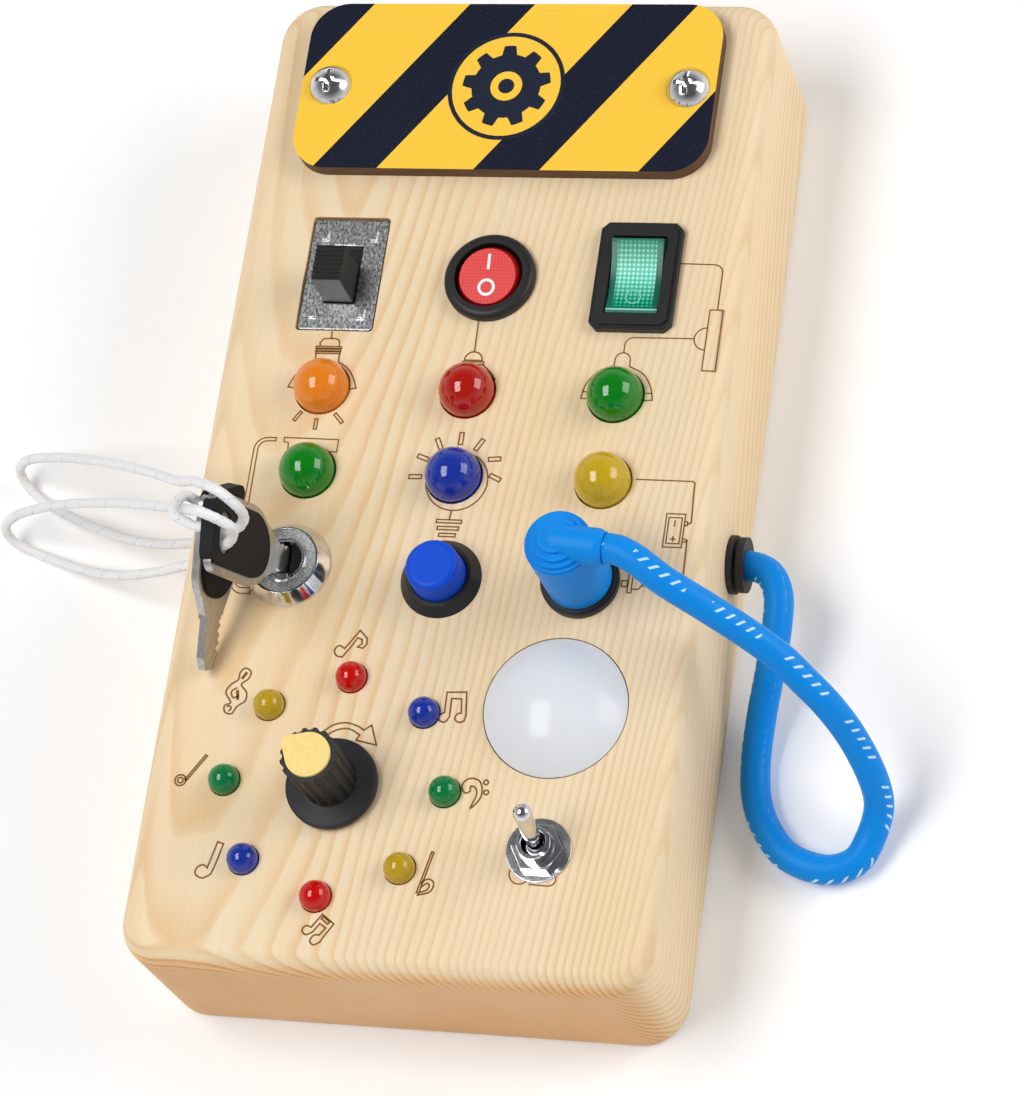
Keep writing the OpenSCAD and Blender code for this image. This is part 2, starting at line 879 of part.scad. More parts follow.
module lock_housing() {
    color("silver")
        at(lock_at)
            difference() {
                union() {
                    cylinder(d = lock_foot_d, h = 0.5);
                    translate([0, 0, 0.5])
                        cylinder(d1 = lock_foot_d, d2 = lock_top_d, h = lock_h - 0.5);
                    translate([0, 0, -lock_deep])
                        cylinder(d = lock_barrel_d, h = lock_deep);
                }
                translate([0, 0, -lock_deep - cut])
                    cylinder(d = lock_bore_d, h = lock_deep + lock_h + 2 * cut);
                translate([0, 0, lock_h - lock_face_t])
                    cylinder(d = lock_top_d - 0.8, h = lock_face_t + cut);
            }
}

module lock_face() {
    color("gray")
        at(lock_at, lock_h - lock_face_t)
            difference() {
                cylinder(d = lock_top_d - 0.8 - 2 * slip, h = lock_face_t - 0.1);
                translate([0, 0, -cut])
                    cylinder(d = lock_bore_d, h = lock_face_t + 2 * cut);
            }
}

lock_nut_t = 2.2;
lock_nut_w = 15;

module lock_nut() {
    color("silver")
        at(lock_at, -panel_t - lock_nut_t)
            hex_ring(lock_nut_w, lock_nut_t, lock_barrel_d + 2 * slip);
}

keyway_x = [-1.15, 2.15];
keyway_y = [-2.7, 3.35];
keyway_deep = 7;
insert_x = 1.3;             // straight edge of the D shaped insert
insert_r = lock_plug_d / 2 - 0.7;

module lock_cylinder() {
    color("silver")
        at(lock_at, lock_h)
            difference() {
                union() {
                    translate([0, 0, -lock_h - lock_deep])
                        cylinder(d = lock_plug_d, h = lock_h + lock_deep);
                    cylinder(r = insert_r + 0.5, h = 0.3);
                    translate([0, 0, -lock_h - lock_deep - 1.6])
                        cylinder(d = 5, h = 2);
                    translate([-3, -7, -lock_h - lock_deep - 1.4])
                        cube([6, 10, 1.2]);
                }
                translate([keyway_x[0], keyway_y[0], -keyway_deep])
                    cube([keyway_x[1] - keyway_x[0], keyway_y[1] - keyway_y[0], keyway_deep + cut]);
                translate([0, 0, -lock_face_t])
                    linear_extrude(height = lock_face_t + cut)
                        lock_insert_outline(0);
            }
}

module lock_insert_outline(gap) {
    intersection() {
        circle(r = insert_r - gap);
        translate([insert_x, -insert_r])
            square(2 * insert_r);
    }
}

module lock_cylinder_face() {
    color("dimgray")
        at(lock_at, lock_h - lock_face_t)
            linear_extrude(height = lock_face_t - 0.1)
                lock_insert_outline(slip);
}

// Keys, drawn with the blade's tip at the origin: Y across the bow, Z along the blade

key_shoulder = 9.5;
key_neck_w = 6.2;
bow_start = 11.7;
bow_r = key_bow_w / 2;
bow_corner_r = 2;
key_slot = [7.4, 3.4];
key_slot_z = key_l - 3.4;
bitting = [1, 0.5, 0.9, 0.6];

module bow_outline(inset, end) {
    translate([0, bow_start + bow_r])
        circle(r = bow_r - inset);
    start = bow_start + bow_r;
    translate([0, (start + end - bow_corner_r) / 2])
        square([key_bow_w - 2 * inset, end - bow_corner_r - start], center = true);
    translate([0, end - bow_corner_r - 0.5])
        square([key_bow_w - 2 * inset - 2 * bow_corner_r, 2 * bow_corner_r + 1], center = true);
    for (side = [-1, 1])
        translate([side * (bow_r - inset - bow_corner_r), end - bow_corner_r])
            circle(r = bow_corner_r);
}

module key_slot_outline() {
    translate([0, key_slot_z])
        rounded_square(key_slot[0], key_slot[1], key_slot[1] / 2 - 0.1);
}

module key_metal_outline() {
    half = key_blade_w / 2;
    difference() {
        union() {
            polygon([[-1.2, 0], [1.2, 0], [half, 2.4], [half, key_shoulder],
                [-half, key_shoulder], [-half, 2.4]]);
            translate([0, (key_shoulder + bow_start + 3) / 2])
                square([key_neck_w, bow_start + 3 - key_shoulder], center = true);
            polygon([[-key_neck_w / 2, bow_start - 1.5], [key_neck_w / 2, bow_start - 1.5],
                [bow_r * 0.72, bow_start + 2.2], [-bow_r * 0.72, bow_start + 2.2]]);
            bow_outline(0, key_l);
        }
        for (i = [0:len(bitting) - 1])
            translate([half, 3.6 + 1.6 * i])
                polygon([[-bitting[i], 0], [0.1, -0.8], [0.1, 0.8]]);
        key_slot_outline();
    }
}

module key_metal() {
    along_x(key_t)
        key_metal_outline();
}

module key_grip() {
    difference() {
        along_x(key_cover_t)
            difference() {
                bow_outline(1.3, key_l + 0.7);
                key_slot_outline();
            }
        along_x(key_t)
            difference() {
                bow_outline(0, key_l);
                key_slot_outline();
            }
    }
}

key_in = 6;                 // length of blade in the lock
key_lean = [10.8, -11, 0];
spare_tip_at = lock_at - [11.3, 20.7];
spare_tip_h = 1.83;
spare_lean = [-57.5, -4, -11.3];

module in_lock() {
    at(lock_at, lock_h)
        rotate(key_lean)
            translate([0, 0, -key_in])
                children();
}

module leaning_on_face() {
    at(spare_tip_at, spare_tip_h)
        rotate(spare_lean)
            children();
}

module key_blade() {
    color("lightgray")
        in_lock()
            key_metal();
}

module key_cover() {
    color("black")
        in_lock()
            key_grip();
}

module spare_key_blade() {
    color("lightgray")
        leaning_on_face()
            key_metal();
}

module spare_key_cover() {
    color("black")
        leaning_on_face()
            key_grip();
}

// Plug, socket and grommet

socket_barrel_d = 11;
socket_ring_h = 1.6;
socket_deep = 12;
socket_bore_deep = 10;
plug_pin_l = 9.5;
plug_gap = 0.1;
arm_d = 6.6;
arm_l = 8.5;
arm_turn = -5;
arm_z = plug_h - 2.5;
grommet_neck_d = 8;
grommet_out = 3;

module plug_socket() {
    color("black")
        at(plug_at) {
            difference() {
                union() {
                    cylinder(d = socket_ring_d, h = socket_ring_h - 0.4);
                    cylinder(d = socket_ring_d - 0.8, h = socket_ring_h);
                    translate([0, 0, -socket_deep])
                        cylinder(d = socket_barrel_d, h = socket_deep);
                    terminals([[-3, 0], [3, 0]], -socket_deep, 5, 0.6, 2.4);
                }
                translate([0, 0, socket_ring_h - socket_bore_deep])
                    cylinder(d = plug_pin_d + 2 * slip, h = socket_bore_deep + cut);
            }
            translate([0, 0, socket_ring_h - socket_bore_deep - 0.5])
                cylinder(d = 2, h = socket_bore_deep - 1);
        }
}

module plug_socket_nut() {
    color("silver")
        at(plug_at, -panel_t - 2)
            hex_ring(14, 2, socket_barrel_d + 2 * slip);
}

// The moulded body: a barrel that closes in rings, and an arm that the cable leaves
module plug_body() {
    foot = socket_ring_h + plug_gap;
    rings = 4;
    ring_h = 0.75;
    color("dodgerblue")
        at(plug_at)
            difference() {
                union() {
                    translate([0, 0, foot])
                        cylinder(d = plug_d, h = plug_h - foot - rings * ring_h);
                    for (i = [1:rings])
                        translate([0, 0, plug_h - foot - rings * ring_h])
                            cylinder(d = plug_d - 0.6 * i * i / 1.6, h = foot + i * ring_h);
                    translate([0, 0, arm_z])
                        rotate([0, 0, arm_turn]) {
                            sphere(d = arm_d);
                            rotate([0, 90, 0])
                                cylinder(d = arm_d, h = arm_l - 1.2);
                            translate([arm_l - 1.2, 0, 0])
                                rotate([0, 90, 0])
                                    cylinder(d1 = arm_d, d2 = cable_d + 0.4, h = 1.2);
                        }
                }
                translate([0, 0, foot - cut])
                    cylinder(d = plug_pin_d + 2 * slip, h = 6 + cut);
            }
}

module plug_pin() {
    top = socket_ring_h + plug_gap + 6;
    bottom = socket_ring_h + plug_gap - plug_pin_l;
    color("silver")
        at(plug_at)
            difference() {
                translate([0, 0, bottom])
                    cylinder(d = plug_pin_d, h = top - bottom);
                translate([0, 0, bottom - cut])
                    cylinder(d = 2.5, h = plug_pin_l + cut);
            }
}

module cable_grommet() {
    color("black")
        translate([board_w / 2, grommet_at[0], grommet_at[1]])
            rotate([0, 90, 0])
                rotate_extrude()
                    difference() {
                        union() {
                            translate([0, -wall_t])
                                square([grommet_neck_d / 2, wall_t + grommet_out]);
                            translate([0, -wall_t - 1.4])
                                square([grommet_d / 2 - 0.4, 1.4]);
                            square([grommet_d / 2, 1.1]);
                            translate([0, 1.8])
                                square([grommet_d / 2 - 0.3, grommet_out - 1.8]);
                        }
                        translate([0, -wall_t - 3])
                            square([cable_d / 2 + slip, wall_t + grommet_out + 6]);
                    }
}

// Cords

function unit(v) = v / norm(v);
function heading(p, i) = unit(p[min(i + 1, len(p) - 1)] - p[max(i - 1, 0)]);

// Side vectors carried along the route, so that the tube doesn't twist
function carried(p, i, side) = i == len(p) ? [] :
    let (way = heading(p, i), now = unit(side - (side * way) * way))
    concat([now], carried(p, i + 1, now));

// Points of a smooth curve through the route, with steps of about the given length
function smooth(a, b, c, d, t) =
    b + 0.5 * t * (c - a + t * (2 * a - 5 * b + 4 * c - d + t * (3 * (b - c) + d - a)));
function route(p, step) = concat(
    [for (i = [0:len(p) - 2])
        let (n = max(1, round(norm(p[i + 1] - p[i]) / step)))
        for (k = [0:n - 1])
            smooth(p[max(i - 1, 0)], p[i], p[i + 1], p[min(i + 2, len(p) - 1)], k / n)],
    [p[len(p) - 1]]
);

module tube(p, diameter, sides) {
    start = heading(p, 0);
    side = carried(p, 0, unit(cross(start, abs(start[2]) < 0.9 ? [0, 0, 1] : [1, 0, 0])));
    rings = [for (i = [0:len(p) - 1]) for (k = [0:sides - 1])
        let (way = heading(p, i), turn = 360 * k / sides)
        p[i] + diameter / 2 * (cos(turn) * side[i] + sin(turn) * cross(way, side[i]))];
    walls = [for (i = [0:len(p) - 2]) for (k = [0:sides - 1])
        let (a = i * sides + k, b = i * sides + (k + 1) % sides)
        each [[a, b + sides, b], [a, a + sides, b + sides]]];
    last = (len(p) - 1) * sides;
    caps = [[for (k = [0:sides - 1]) k], [for (k = [sides - 1:-1:0]) last + k]];
    polyhedron(points = rings, faces = concat(caps, walls), convexity = 10);
}

cable_route = [
    [38.6, -9, 13], [44, -9, 13], [50.5, -9, 13], [54.6, -10.6, 13.5], [56.8, -14.5, 13.8],
    [57, -20, 12.5], [56.2, -27, 10], [54.6, -34.5, 5.5], [54, -42, 3], [55, -49, 2.8],
    [57.6, -54.5, 2.8], [61.8, -59, 2.8], [68.5, -61, 2.8], [73.7, -59.3, 3], [76.1, -55, 3.8],
    [77.6, -50.3, 7], [77.1, -47, 13], [74.5, -42.8, 20], [71.2, -39.6, 26.5], [67, -36.5, 31],
    [63.5, -34, 34], [58.2, -31.4, 38], [52, -29, 43], [45.2, -26.2, 47], [39.8, -23, 49],
    [36.8, -21.75, 49.3], [34.75, -21.55, 49.3]
];

key_cord_d = 1.9;
key_cord_route = [
    [-40, -9.5, 16], [-47.5, -9.5, 16], [-52.6, -9.9, 15.7], [-59.6, -9.3, 13], [-69.6, -6.2, 8],
    [-79.3, -2.1, 4.5], [-88.5, 2.5, 1.5], [-92.9, 5.7, 2.1], [-93.7, 7.7, 5.4], [-90.4, 8.2, 9.3],
    [-81.9, 6.8, 14.1], [-69, 2, 24], [-55.6, -4.6, 36], [-45.4, -10.6, 46.4], [-36.9, -15.9, 58.9],
    [-30.6, -19.6, 64.4], [-27.7, -21.2, 62.4], [-27.1, -21.6, 59.6], [-27.2, -22.1, 57.9],
    [-28.3, -23.2, 56.7], [-30.6, -24.4, 56.6], [-32.9, -24.1, 56.8], [-34.9, -23.5, 57],
    [-36.7, -23.2, 56.6], [-40.6, -20.9, 56.5], [-40.1, -16.8, 54.5], [-37.1, -17.2, 50.9],
    [-34.8, -18, 51], [-33.2, -19.7, 51.3], [-33.7, -23.5, 52.9], [-33.8, -25.5, 54.9],
    [-32.6, -26.5, 56.2], [-30.6, -26.8, 56.8], [-29, -26.3, 57.9], [-28, -25.6, 59.5],
    [-27.9, -25.3, 62.6], [-32.6, -24, 65.1], [-38, -20.4, 56.8], [-44.7, -15.4, 45.3],
    [-56.1, -10.7, 35.2], [-68.3, -6.3, 24.5], [-80.5, -3.1, 14.9], [-89.7, -2.9, 9.8],
    [-93.7, -4.2, 6.8], [-93.5, -5.7, 3.2], [-89.1, -7.3, 1.3], [-79, -11.1, 3.9],
    [-69.3, -13.8, 8], [-59.6, -14.8, 13], [-52.8, -14.3, 15.7], [-47.5, -14, 16], [-40, -14, 16]
];

module power_cable() {
    color("dodgerblue")
        tube(route(cable_route, 14), cable_d, 12);
}

module key_cord() {
    color("white")
        tube(route(key_cord_route, 12), key_cord_d, 8);
}

module key_cord_knot() {
    color("white")
        translate([-cavity_x, 0, tether_z])
            rotate([90, 0, 0])
                translate([2, 0, -tether_y[0]])
                    cylinder(d = 4, h = tether_y[0] - tether_y[1]);
    color("white")
        for (y = tether_y)
            translate([-cavity_x + 2, y, tether_z])
                sphere(d = 4);
}

// Lamps

lamp_board_top = 19.6;
pcb_t = 1.6;

function on_ring(turn) = [rotary_at[0] + ring_r * cos(turn), rotary_at[1] + ring_r * sin(turn)];

module led(place, diameter, flange_w, flange_t, dome_z, lead_gap) {
    translate([place[0], place[1], under - flange_t]) {
        cylinder(d = diameter + 2 * flange_w, h = flange_t);
        cylinder(d = diameter, h = dome_z);
        translate([0, 0, dome_z])
            sphere(d = diameter);
        for (side = [-1, 1])
            translate([side * lead_gap / 2, 0, (lamp_board_top - under + flange_t) / 2])
                cube([0.5, 0.5, under - flange_t - lamp_board_top], center = true);
    }
}

module big_led(column, row) {
    led([lamp_x[column], lamp_y[row]], big_led_d, 0.8, 1.5, 6.85, 2.54);
}

module small_led(turn) {
    led(on_ring(turn), small_led_d, 0.4, 1, 6.1, 2.54);
}

module led_large_orange() {
    color("orange")
        big_led(0, 0);
}

module led_large_red() {
    color("red")
        big_led(1, 0);
}

module led_large_green() {
    color("green") {
        big_led(2, 0);
        big_led(0, 1);
    }
}

module led_large_blue() {
    color("blue")
        big_led(1, 1);
}

module led_large_yellow() {
    color("goldenrod")
        big_led(2, 1);
}

module led_small_red() {
    color("red") {
        small_led(90);
        small_led(270);
    }
}

module led_small_blue() {
    color("blue") {
        small_led(45);
        small_led(225);
    }
}

module led_small_green() {
    color("green") {
        small_led(0);
        small_led(180);
    }
}

module led_small_olive() {
    color("olive") {
        small_led(135);
        small_led(315);
    }
}

dome_flange_t = 1.5;
dome_flange = 1.3;
dome_wall = 1.6;
inner_led_d = 5;
inner_led_h = 3;

module dome_lens() {
    rim_r = dome_d / 2;
    ball_r = (rim_r * rim_r + dome_h * dome_h) / (2 * dome_h);
    color("white")
        at(dome_at)
            difference() {
                union() {
                    translate([0, 0, -panel_t - dome_flange_t])
                        cylinder(r = rim_r + dome_flange, h = dome_flange_t);
                    translate([0, 0, -panel_t - dome_flange_t])
                        cylinder(r = rim_r, h = panel_t + dome_flange_t);
                    intersection() {
                        translate([0, 0, dome_h - ball_r])
                            sphere(r = ball_r);
                        cylinder(r = rim_r, h = dome_h + cut);
                    }
                }
                translate([0, 0, -panel_t - dome_flange_t - cut])
                    cylinder(r = rim_r - dome_wall, h = panel_t + dome_flange_t + cut);
                intersection() {
                    translate([0, 0, dome_h - ball_r])
                        sphere(r = ball_r - dome_wall);
                    translate([0, 0, -cut])
                        cylinder(r = rim_r - dome_wall, h = dome_h + cut);
                }
            }
}

module dome_lamp_board() {
    color("seagreen")
        translate([dome_at[0], dome_at[1], under - dome_flange_t - pcb_t]) {
            cylinder(d = dome_d, h = pcb_t);
            for (side = [-1, 1])
                translate([side * inner_led_d, 0, pcb_t]) {
                    cylinder(d = inner_led_d, h = inner_led_h);
                    translate([0, 0, inner_led_h])
                        sphere(d = inner_led_d);
                }
        }
}

module lamp_board() {
    color("seagreen")
        translate([lamp_x[1], (lamp_y[0] + lamp_y[1]) / 2, lamp_board_top - pcb_t])
            rounded_plate(lamp_x[2] - lamp_x[0] + 14, lamp_y[0] - lamp_y[1] + 15, pcb_t, 1);
}

ring_board_rim = 4;
ring_board_bore = 17;

module ring_board() {
    color("seagreen")
        translate([rotary_at[0], rotary_at[1], lamp_board_top - pcb_t])
            difference() {
                cylinder(r = ring_r + ring_board_rim, h = pcb_t);
                translate([0, 0, -cut])
                    cylinder(d = ring_board_bore, h = pcb_t + 2 * cut);
            }
}

// Battery box

box_flange = 2.5;
box_flange_t = 1.5;
contact_gap = 2.5;
boss_w = 6;                 // solid end that the lid's screw goes into
cell_pitch = cell_d + 0.4;
bay_w = cell_l + 2 * contact_gap;
bay_h = 2 * cell_d + 1.2;
box_w = bay_w + 2 * box_wall + boss_w;
box_h = bay_h + 2 * box_wall;
box_depth = lid_t + cell_d + 0.3 + box_wall;
bay_x = -boss_w / 2;
lid_step = 0.7;
lid_screw_d = 2;
lid_screw_l = 8;
lid_screw_x = (box_w - boss_w - box_wall) / 2;

module battery_box() {
    color("dimgray")
        translate([battery_at[0], battery_at[1], 0])
            difference() {
                union() {
                    rounded_plate(box_w, box_h, box_depth, 1);
                    translate([0, 0, cover_t])
                        rounded_plate(box_w + 2 * box_flange, box_h + 2 * box_flange, box_flange_t, 2);
                }
                translate([bay_x, 0, -cut])
                    rounded_plate(bay_w, bay_h, box_depth - box_wall + cut, 0.5);
                translate([0, 0, -cut])
                    rounded_plate(lid_w + 2 * slip + 0.2, lid_h + 2 * slip + 0.2, lid_t + cut, 0.8);
                translate([lid_screw_x, 0, 0])
                    cylinder(d = lid_screw_d + 2 * slip, h = lid_screw_l + 0.4);
            }
}

lid_w = box_w - 2 * (box_wall - lid_step) - 0.3;
lid_h = bay_h + 2 * lid_step;

module battery_lid() {
    color("dimgray")
        translate([battery_at[0], battery_at[1], 0])
            difference() {
                rounded_plate(lid_w, lid_h, lid_t, 0.8);
                translate([lid_screw_x, 0, -cut])
                    cylinder(d = lid_screw_d + 2 * slip, h = lid_t + 2 * cut);
                translate([lid_screw_x, 0, -cut])
                    cylinder(d = 4 + 2 * slip, h = 1.1 + cut);
                for (i = [0:4])
                    translate([-lid_w / 2 + 5 + 2 * i, 0, 0])
                        cube([0.8, lid_h * 0.5, 0.8], center = true);
            }
}

module battery_lid_screw() {
    color("silver")
        translate([battery_at[0] + lid_screw_x, battery_at[1], 0])
            difference() {
                union() {
                    translate([0, 0, 0.1])
                        cylinder(d = 4, h = 1);
                    translate([0, 0, 0.1])
                        cylinder(d = lid_screw_d, h = lid_screw_l);
                }
                translate([0, 0, 0.1])
                    mirror([0, 0, 1])
                        cross_recess(2.4, 0.6);
            }
}

module each_cell() {
    for (side = [-1, 1])
        translate([battery_at[0] + bay_x, battery_at[1] + side * cell_pitch / 2,
            box_depth - box_wall - cell_d / 2 - 0.02])
            rotate([0, side * 90, 0])
                children();
}

module batteries() {
    nub = 1;
    color("goldenrod")
        each_cell() {
            translate([0, 0, -cell_l / 2])
                cylinder(d = cell_d, h = cell_l - nub);
            translate([0, 0, -cell_l / 2])
                cylinder(d = 3.8, h = cell_l);
        }
}

module battery_contacts() {
    plate = 0.5;
    color("silver")
        each_cell()
            for (end = [0, 1])
                mirror([0, 0, end])
                    translate([0, 0, cell_l / 2 + 0.02]) {
                        cylinder(d1 = 3, d2 = 6, h = contact_gap - plate - 0.04);
                        translate([0, 0, contact_gap - plate / 2 - 0.04])
                            cube([8, 8, plate], center = true);
                    }
}

board_body();
back_cover();
back_cover_screws();
sign_plate();
sign_screws();
slide_switch_frame();
slide_switch_base();
slide_knob();
round_rocker_housing();
round_rocker_cap();
rect_rocker_housing();
rect_rocker_cap();
push_button_housing();
push_button_nut();
push_button_cap();
push_button_spring();
toggle_housing();
toggle_washer();
toggle_nut();
toggle_lever();
rotary_switch_body();
rotary_switch_nut();
rotary_shaft();
knob();
knob_cap();
lock_housing();
lock_face();
lock_nut();
lock_cylinder();
lock_cylinder_face();
key_blade();
key_cover();
spare_key_blade();
spare_key_cover();
key_cord();
key_cord_knot();
plug_socket();
plug_socket_nut();
plug_body();
plug_pin();
power_cable();
cable_grommet();
led_large_orange();
led_large_red();
led_large_green();
led_large_blue();
led_large_yellow();
led_small_red();
led_small_blue();
led_small_green();
led_small_olive();
dome_lens();
dome_lamp_board();
lamp_board();
ring_board();
battery_box();
battery_lid();
battery_lid_screw();
batteries();
battery_contacts();
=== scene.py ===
# %% [markdown]
# # A wooden busy board
# The board, its switches, lamps, lock, keys and plug come ready made as a frame of solids at
# their real size. This lesson dresses them: it adds the camera and the light, gives every solid a
# finish, and makes the pieces that a drawing of solids lacks, such as the braided cord and the
# burned lines.

# %% Load the frame
import math

import bpy
from mathutils import Matrix, Vector
from mathutils.bvhtree import BVHTree


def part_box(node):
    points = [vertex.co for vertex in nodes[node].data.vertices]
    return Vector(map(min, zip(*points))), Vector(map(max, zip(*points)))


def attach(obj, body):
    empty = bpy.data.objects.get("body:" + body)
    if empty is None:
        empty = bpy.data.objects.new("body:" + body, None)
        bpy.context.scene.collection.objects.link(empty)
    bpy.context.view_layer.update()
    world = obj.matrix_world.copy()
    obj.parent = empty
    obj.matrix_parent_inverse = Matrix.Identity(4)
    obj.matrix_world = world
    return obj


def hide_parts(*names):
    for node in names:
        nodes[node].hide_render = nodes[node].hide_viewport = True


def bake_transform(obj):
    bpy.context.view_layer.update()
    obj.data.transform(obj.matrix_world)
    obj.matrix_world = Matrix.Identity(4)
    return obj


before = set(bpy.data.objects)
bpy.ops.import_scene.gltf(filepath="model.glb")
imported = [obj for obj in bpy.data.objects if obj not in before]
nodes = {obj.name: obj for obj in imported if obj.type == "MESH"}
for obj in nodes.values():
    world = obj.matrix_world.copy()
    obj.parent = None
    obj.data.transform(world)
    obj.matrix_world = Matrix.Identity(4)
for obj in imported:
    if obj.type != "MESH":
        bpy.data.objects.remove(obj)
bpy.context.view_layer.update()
MM = 0.001
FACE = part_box("board_body")[1].z
print("solids:", len(nodes), "face of the board at", round(FACE / MM, 2), "mm")

# %% [markdown]
# ## The camera
# It stands some 0.8 m off, looks down on the face from the lower right, and is rolled until the
# board leans only a little. A long lens keeps the far end nearly as large as the near one. The
# render is upright, so the sensor is fitted to its width.

# %% The camera
CAMERA_AT = Vector((229.4, -292.7, 716.5)) * MM
LOOK_AT = Vector((2.82, -2.14, 0)) * MM
ROLL = math.radians(-32.55)

camera_data = bpy.data.cameras.new("camera")
camera_data.sensor_fit = "HORIZONTAL"
camera_data.sensor_width = 36
camera_data.lens = 155.4
camera = bpy.data.objects.new("camera", camera_data)
bpy.context.collection.objects.link(camera)
away = CAMERA_AT - LOOK_AT
turn = away.to_track_quat("Z", "Y").to_matrix() @ Matrix.Rotation(ROLL, 3, "Z")
camera.matrix_world = Matrix.Translation(CAMERA_AT) @ turn.to_4x4()
bpy.context.scene.camera = camera
print("camera", round(away.length, 3), "m from the board's middle")

# %% [markdown]
# ## Helpers for materials
# A finish is a small tree of shader nodes. `add` puts one node in a tree and fills its sockets,
# with a number, a colour or the output of another node. `blend_colours` and `ramp` are the two
# colour nodes that nearly every finish needs.

# %% Helpers for shader trees
def add(tree, kind, sockets=None, **settings):
    """Adds one shader node, sets its properties, and fills or joins its input sockets."""
    made = tree.nodes.new("ShaderNode" + kind)
    for name, value in settings.items():
        setattr(made, name, value)
    for name, value in (sockets or {}).items():
        if isinstance(value, bpy.types.NodeSocket):
            tree.links.new(value, made.inputs[name])
        else:
            made.inputs[name].default_value = value
    return made


def calc(tree, operation, *values):
    """One Math node; values are numbers or sockets. Returns its output."""
    return add(tree, "Math", dict(enumerate(values)), operation=operation).outputs[0]


def blend_colours(tree, factor, first, second, blend_type="MIX"):
    """Mixes two colours. Each may be a socket or an RGB tuple."""
    def rgba(colour):
        return colour if isinstance(colour, bpy.types.NodeSocket) else (*colour, 1)

    sockets = {0: factor, 6: rgba(first), 7: rgba(second)}
    return add(tree, "Mix", sockets, data_type="RGBA", blend_type=blend_type).outputs[2]


def ramp(tree, factor, *stops):
    """A colour ramp in greys: each stop is (place, grey)."""
    made = add(tree, "ValToRGB", {0: factor})
    elements = made.color_ramp.elements
    while len(elements) < len(stops):
        elements.new(0.5)
    for element, (place, grey) in zip(elements, stops):
        element.position = place
        element.color = (grey, grey, grey, 1)
    return made.outputs[0]


def repeated(tree, way, pitch, share):
    """1 on the first share of every pitch along a way, and 0 on the rest."""
    part = calc(tree, "FRACT", calc(tree, "DIVIDE", way, pitch))
    return calc(tree, "LESS_THAN", part, share)


def position(tree):
    """The place of a point in the board's own frame, in metres."""
    return add(tree, "TexCoord").outputs["Object"]


def axes(tree, vector):
    """The x, y and z of a vector."""
    return add(tree, "SeparateXYZ", {0: vector}).outputs


def facing(tree):
    """The x, y and z of the surface's normal."""
    return axes(tree, add(tree, "NewGeometry").outputs["Normal"])


def stretched(tree, vector, scale):
    """The vector, scaled along each axis."""
    return add(tree, "Mapping", {"Vector": vector, "Scale": scale}).outputs[0]


def noise(tree, vector, scale, detail=2.0, roughness=0.5):
    """A soft random pattern between 0 and 1."""
    sockets = {"Vector": vector, "Scale": scale, "Detail": detail, "Roughness": roughness}
    return add(tree, "TexNoise", sockets).outputs[0]


def bump(tree, height, distance, strength=1.0, **sockets):
    """A normal that makes the height look like relief."""
    sockets |= {"Height": height, "Distance": distance, "Strength": strength}
    return add(tree, "Bump", sockets).outputs[0]


def new_material(name, **sockets):
    """A material, its tree and its shader. In a socket's name, an underscore is a space."""
    material = bpy.data.materials.new(name)
    material.use_nodes = True
    skin = material.node_tree.nodes["Principled BSDF"]
    for socket, value in sockets.items():
        skin.inputs[socket.replace("_", " ")].default_value = value
    return material, material.node_tree, skin


def dress(tree, skin, colour, normal=None):
    """Joins a colour to the shader, and a normal if there is one."""
    tree.links.new(colour, skin.inputs["Base Color"])
    if normal is not None:
        tree.links.new(normal, skin.inputs["Normal"])


def finish(material, *names):
    """Gives CAD nodes their finish."""
    for name in names:
        slots = nodes[name].data.materials
        slots.clear()
        slots.append(material)


print("helpers ready")

# %% [markdown]
# ## Specks
# No moulded or printed surface has quite one colour. Seen close, it changes in fine specks
# between two. Many finishes below need this, so it is a node group: a tree that is built once and
# placed in each material with its own colours and its own size of speck. An image could do it
# too, but noise that is worked out from the place needs no map and never repeats.

# %% A node group for fine specks
def group_tree(name, inputs, outputs):
    """A shader node group. Returns its tree, the sockets given to it, and its outputs node."""
    tree = bpy.data.node_groups.new(name, "ShaderNodeTree")
    for way, sockets in (("INPUT", inputs), ("OUTPUT", outputs)):
        for socket, kind in sockets.items():
            tree.interface.new_socket(name=socket, in_out=way, socket_type="NodeSocket" + kind)
    return tree, tree.nodes.new("NodeGroupInput").outputs, tree.nodes.new("NodeGroupOutput")


def put_out(tree, result, **values):
    """Joins values to a group's outputs. In a socket's name, an underscore is a space."""
    for socket, value in values.items():
        tree.links.new(value, result.inputs[socket.replace("_", " ")])


fine_specks, given, result = group_tree(
    "fine specks",
    {"Specks per Metre": "Float", "Detail": "Float", "First Color": "Color",
     "Second Color": "Color"},
    {"Color": "Color", "Height": "Float"},
)
speck = noise(fine_specks, position(fine_specks), given["Specks per Metre"], given["Detail"])
mixed = blend_colours(fine_specks, speck, given["First Color"], given["Second Color"])
put_out(fine_specks, result, Color=mixed, Height=speck)


def specks(tree, first, second, per_m, detail=3):
    """Places the group in a tree. Returns its outputs, Color and Height."""
    sockets = {"Specks per Metre": per_m, "Detail": detail}
    sockets |= {"First Color": (*first, 1), "Second Color": (*second, 1)}
    return add(tree, "Group", sockets, node_tree=fine_specks).outputs


print("group of specks:", len(fine_specks.nodes), "nodes")

# %% [markdown]
# ## Cords
# A cord is swept along a given route. A smooth curve runs through the route's points, a
# ring of vertices stands on it at every step, and each ring is carried on from the last without
# twisting. A modifier could do the same from a curve, but a mesh can bend across a joint, and the
# braid below needs to move single vertices.

# %% Sweep a tube along a route
def between(a, b, c, d, share):
    """The point at a share of the way from b to c, on a smooth curve through all four."""
    bend = 2 * a - 5 * b + 4 * c - d + share * (3 * (b - c) + d - a)
    return b + 0.5 * share * (c - a + share * bend)


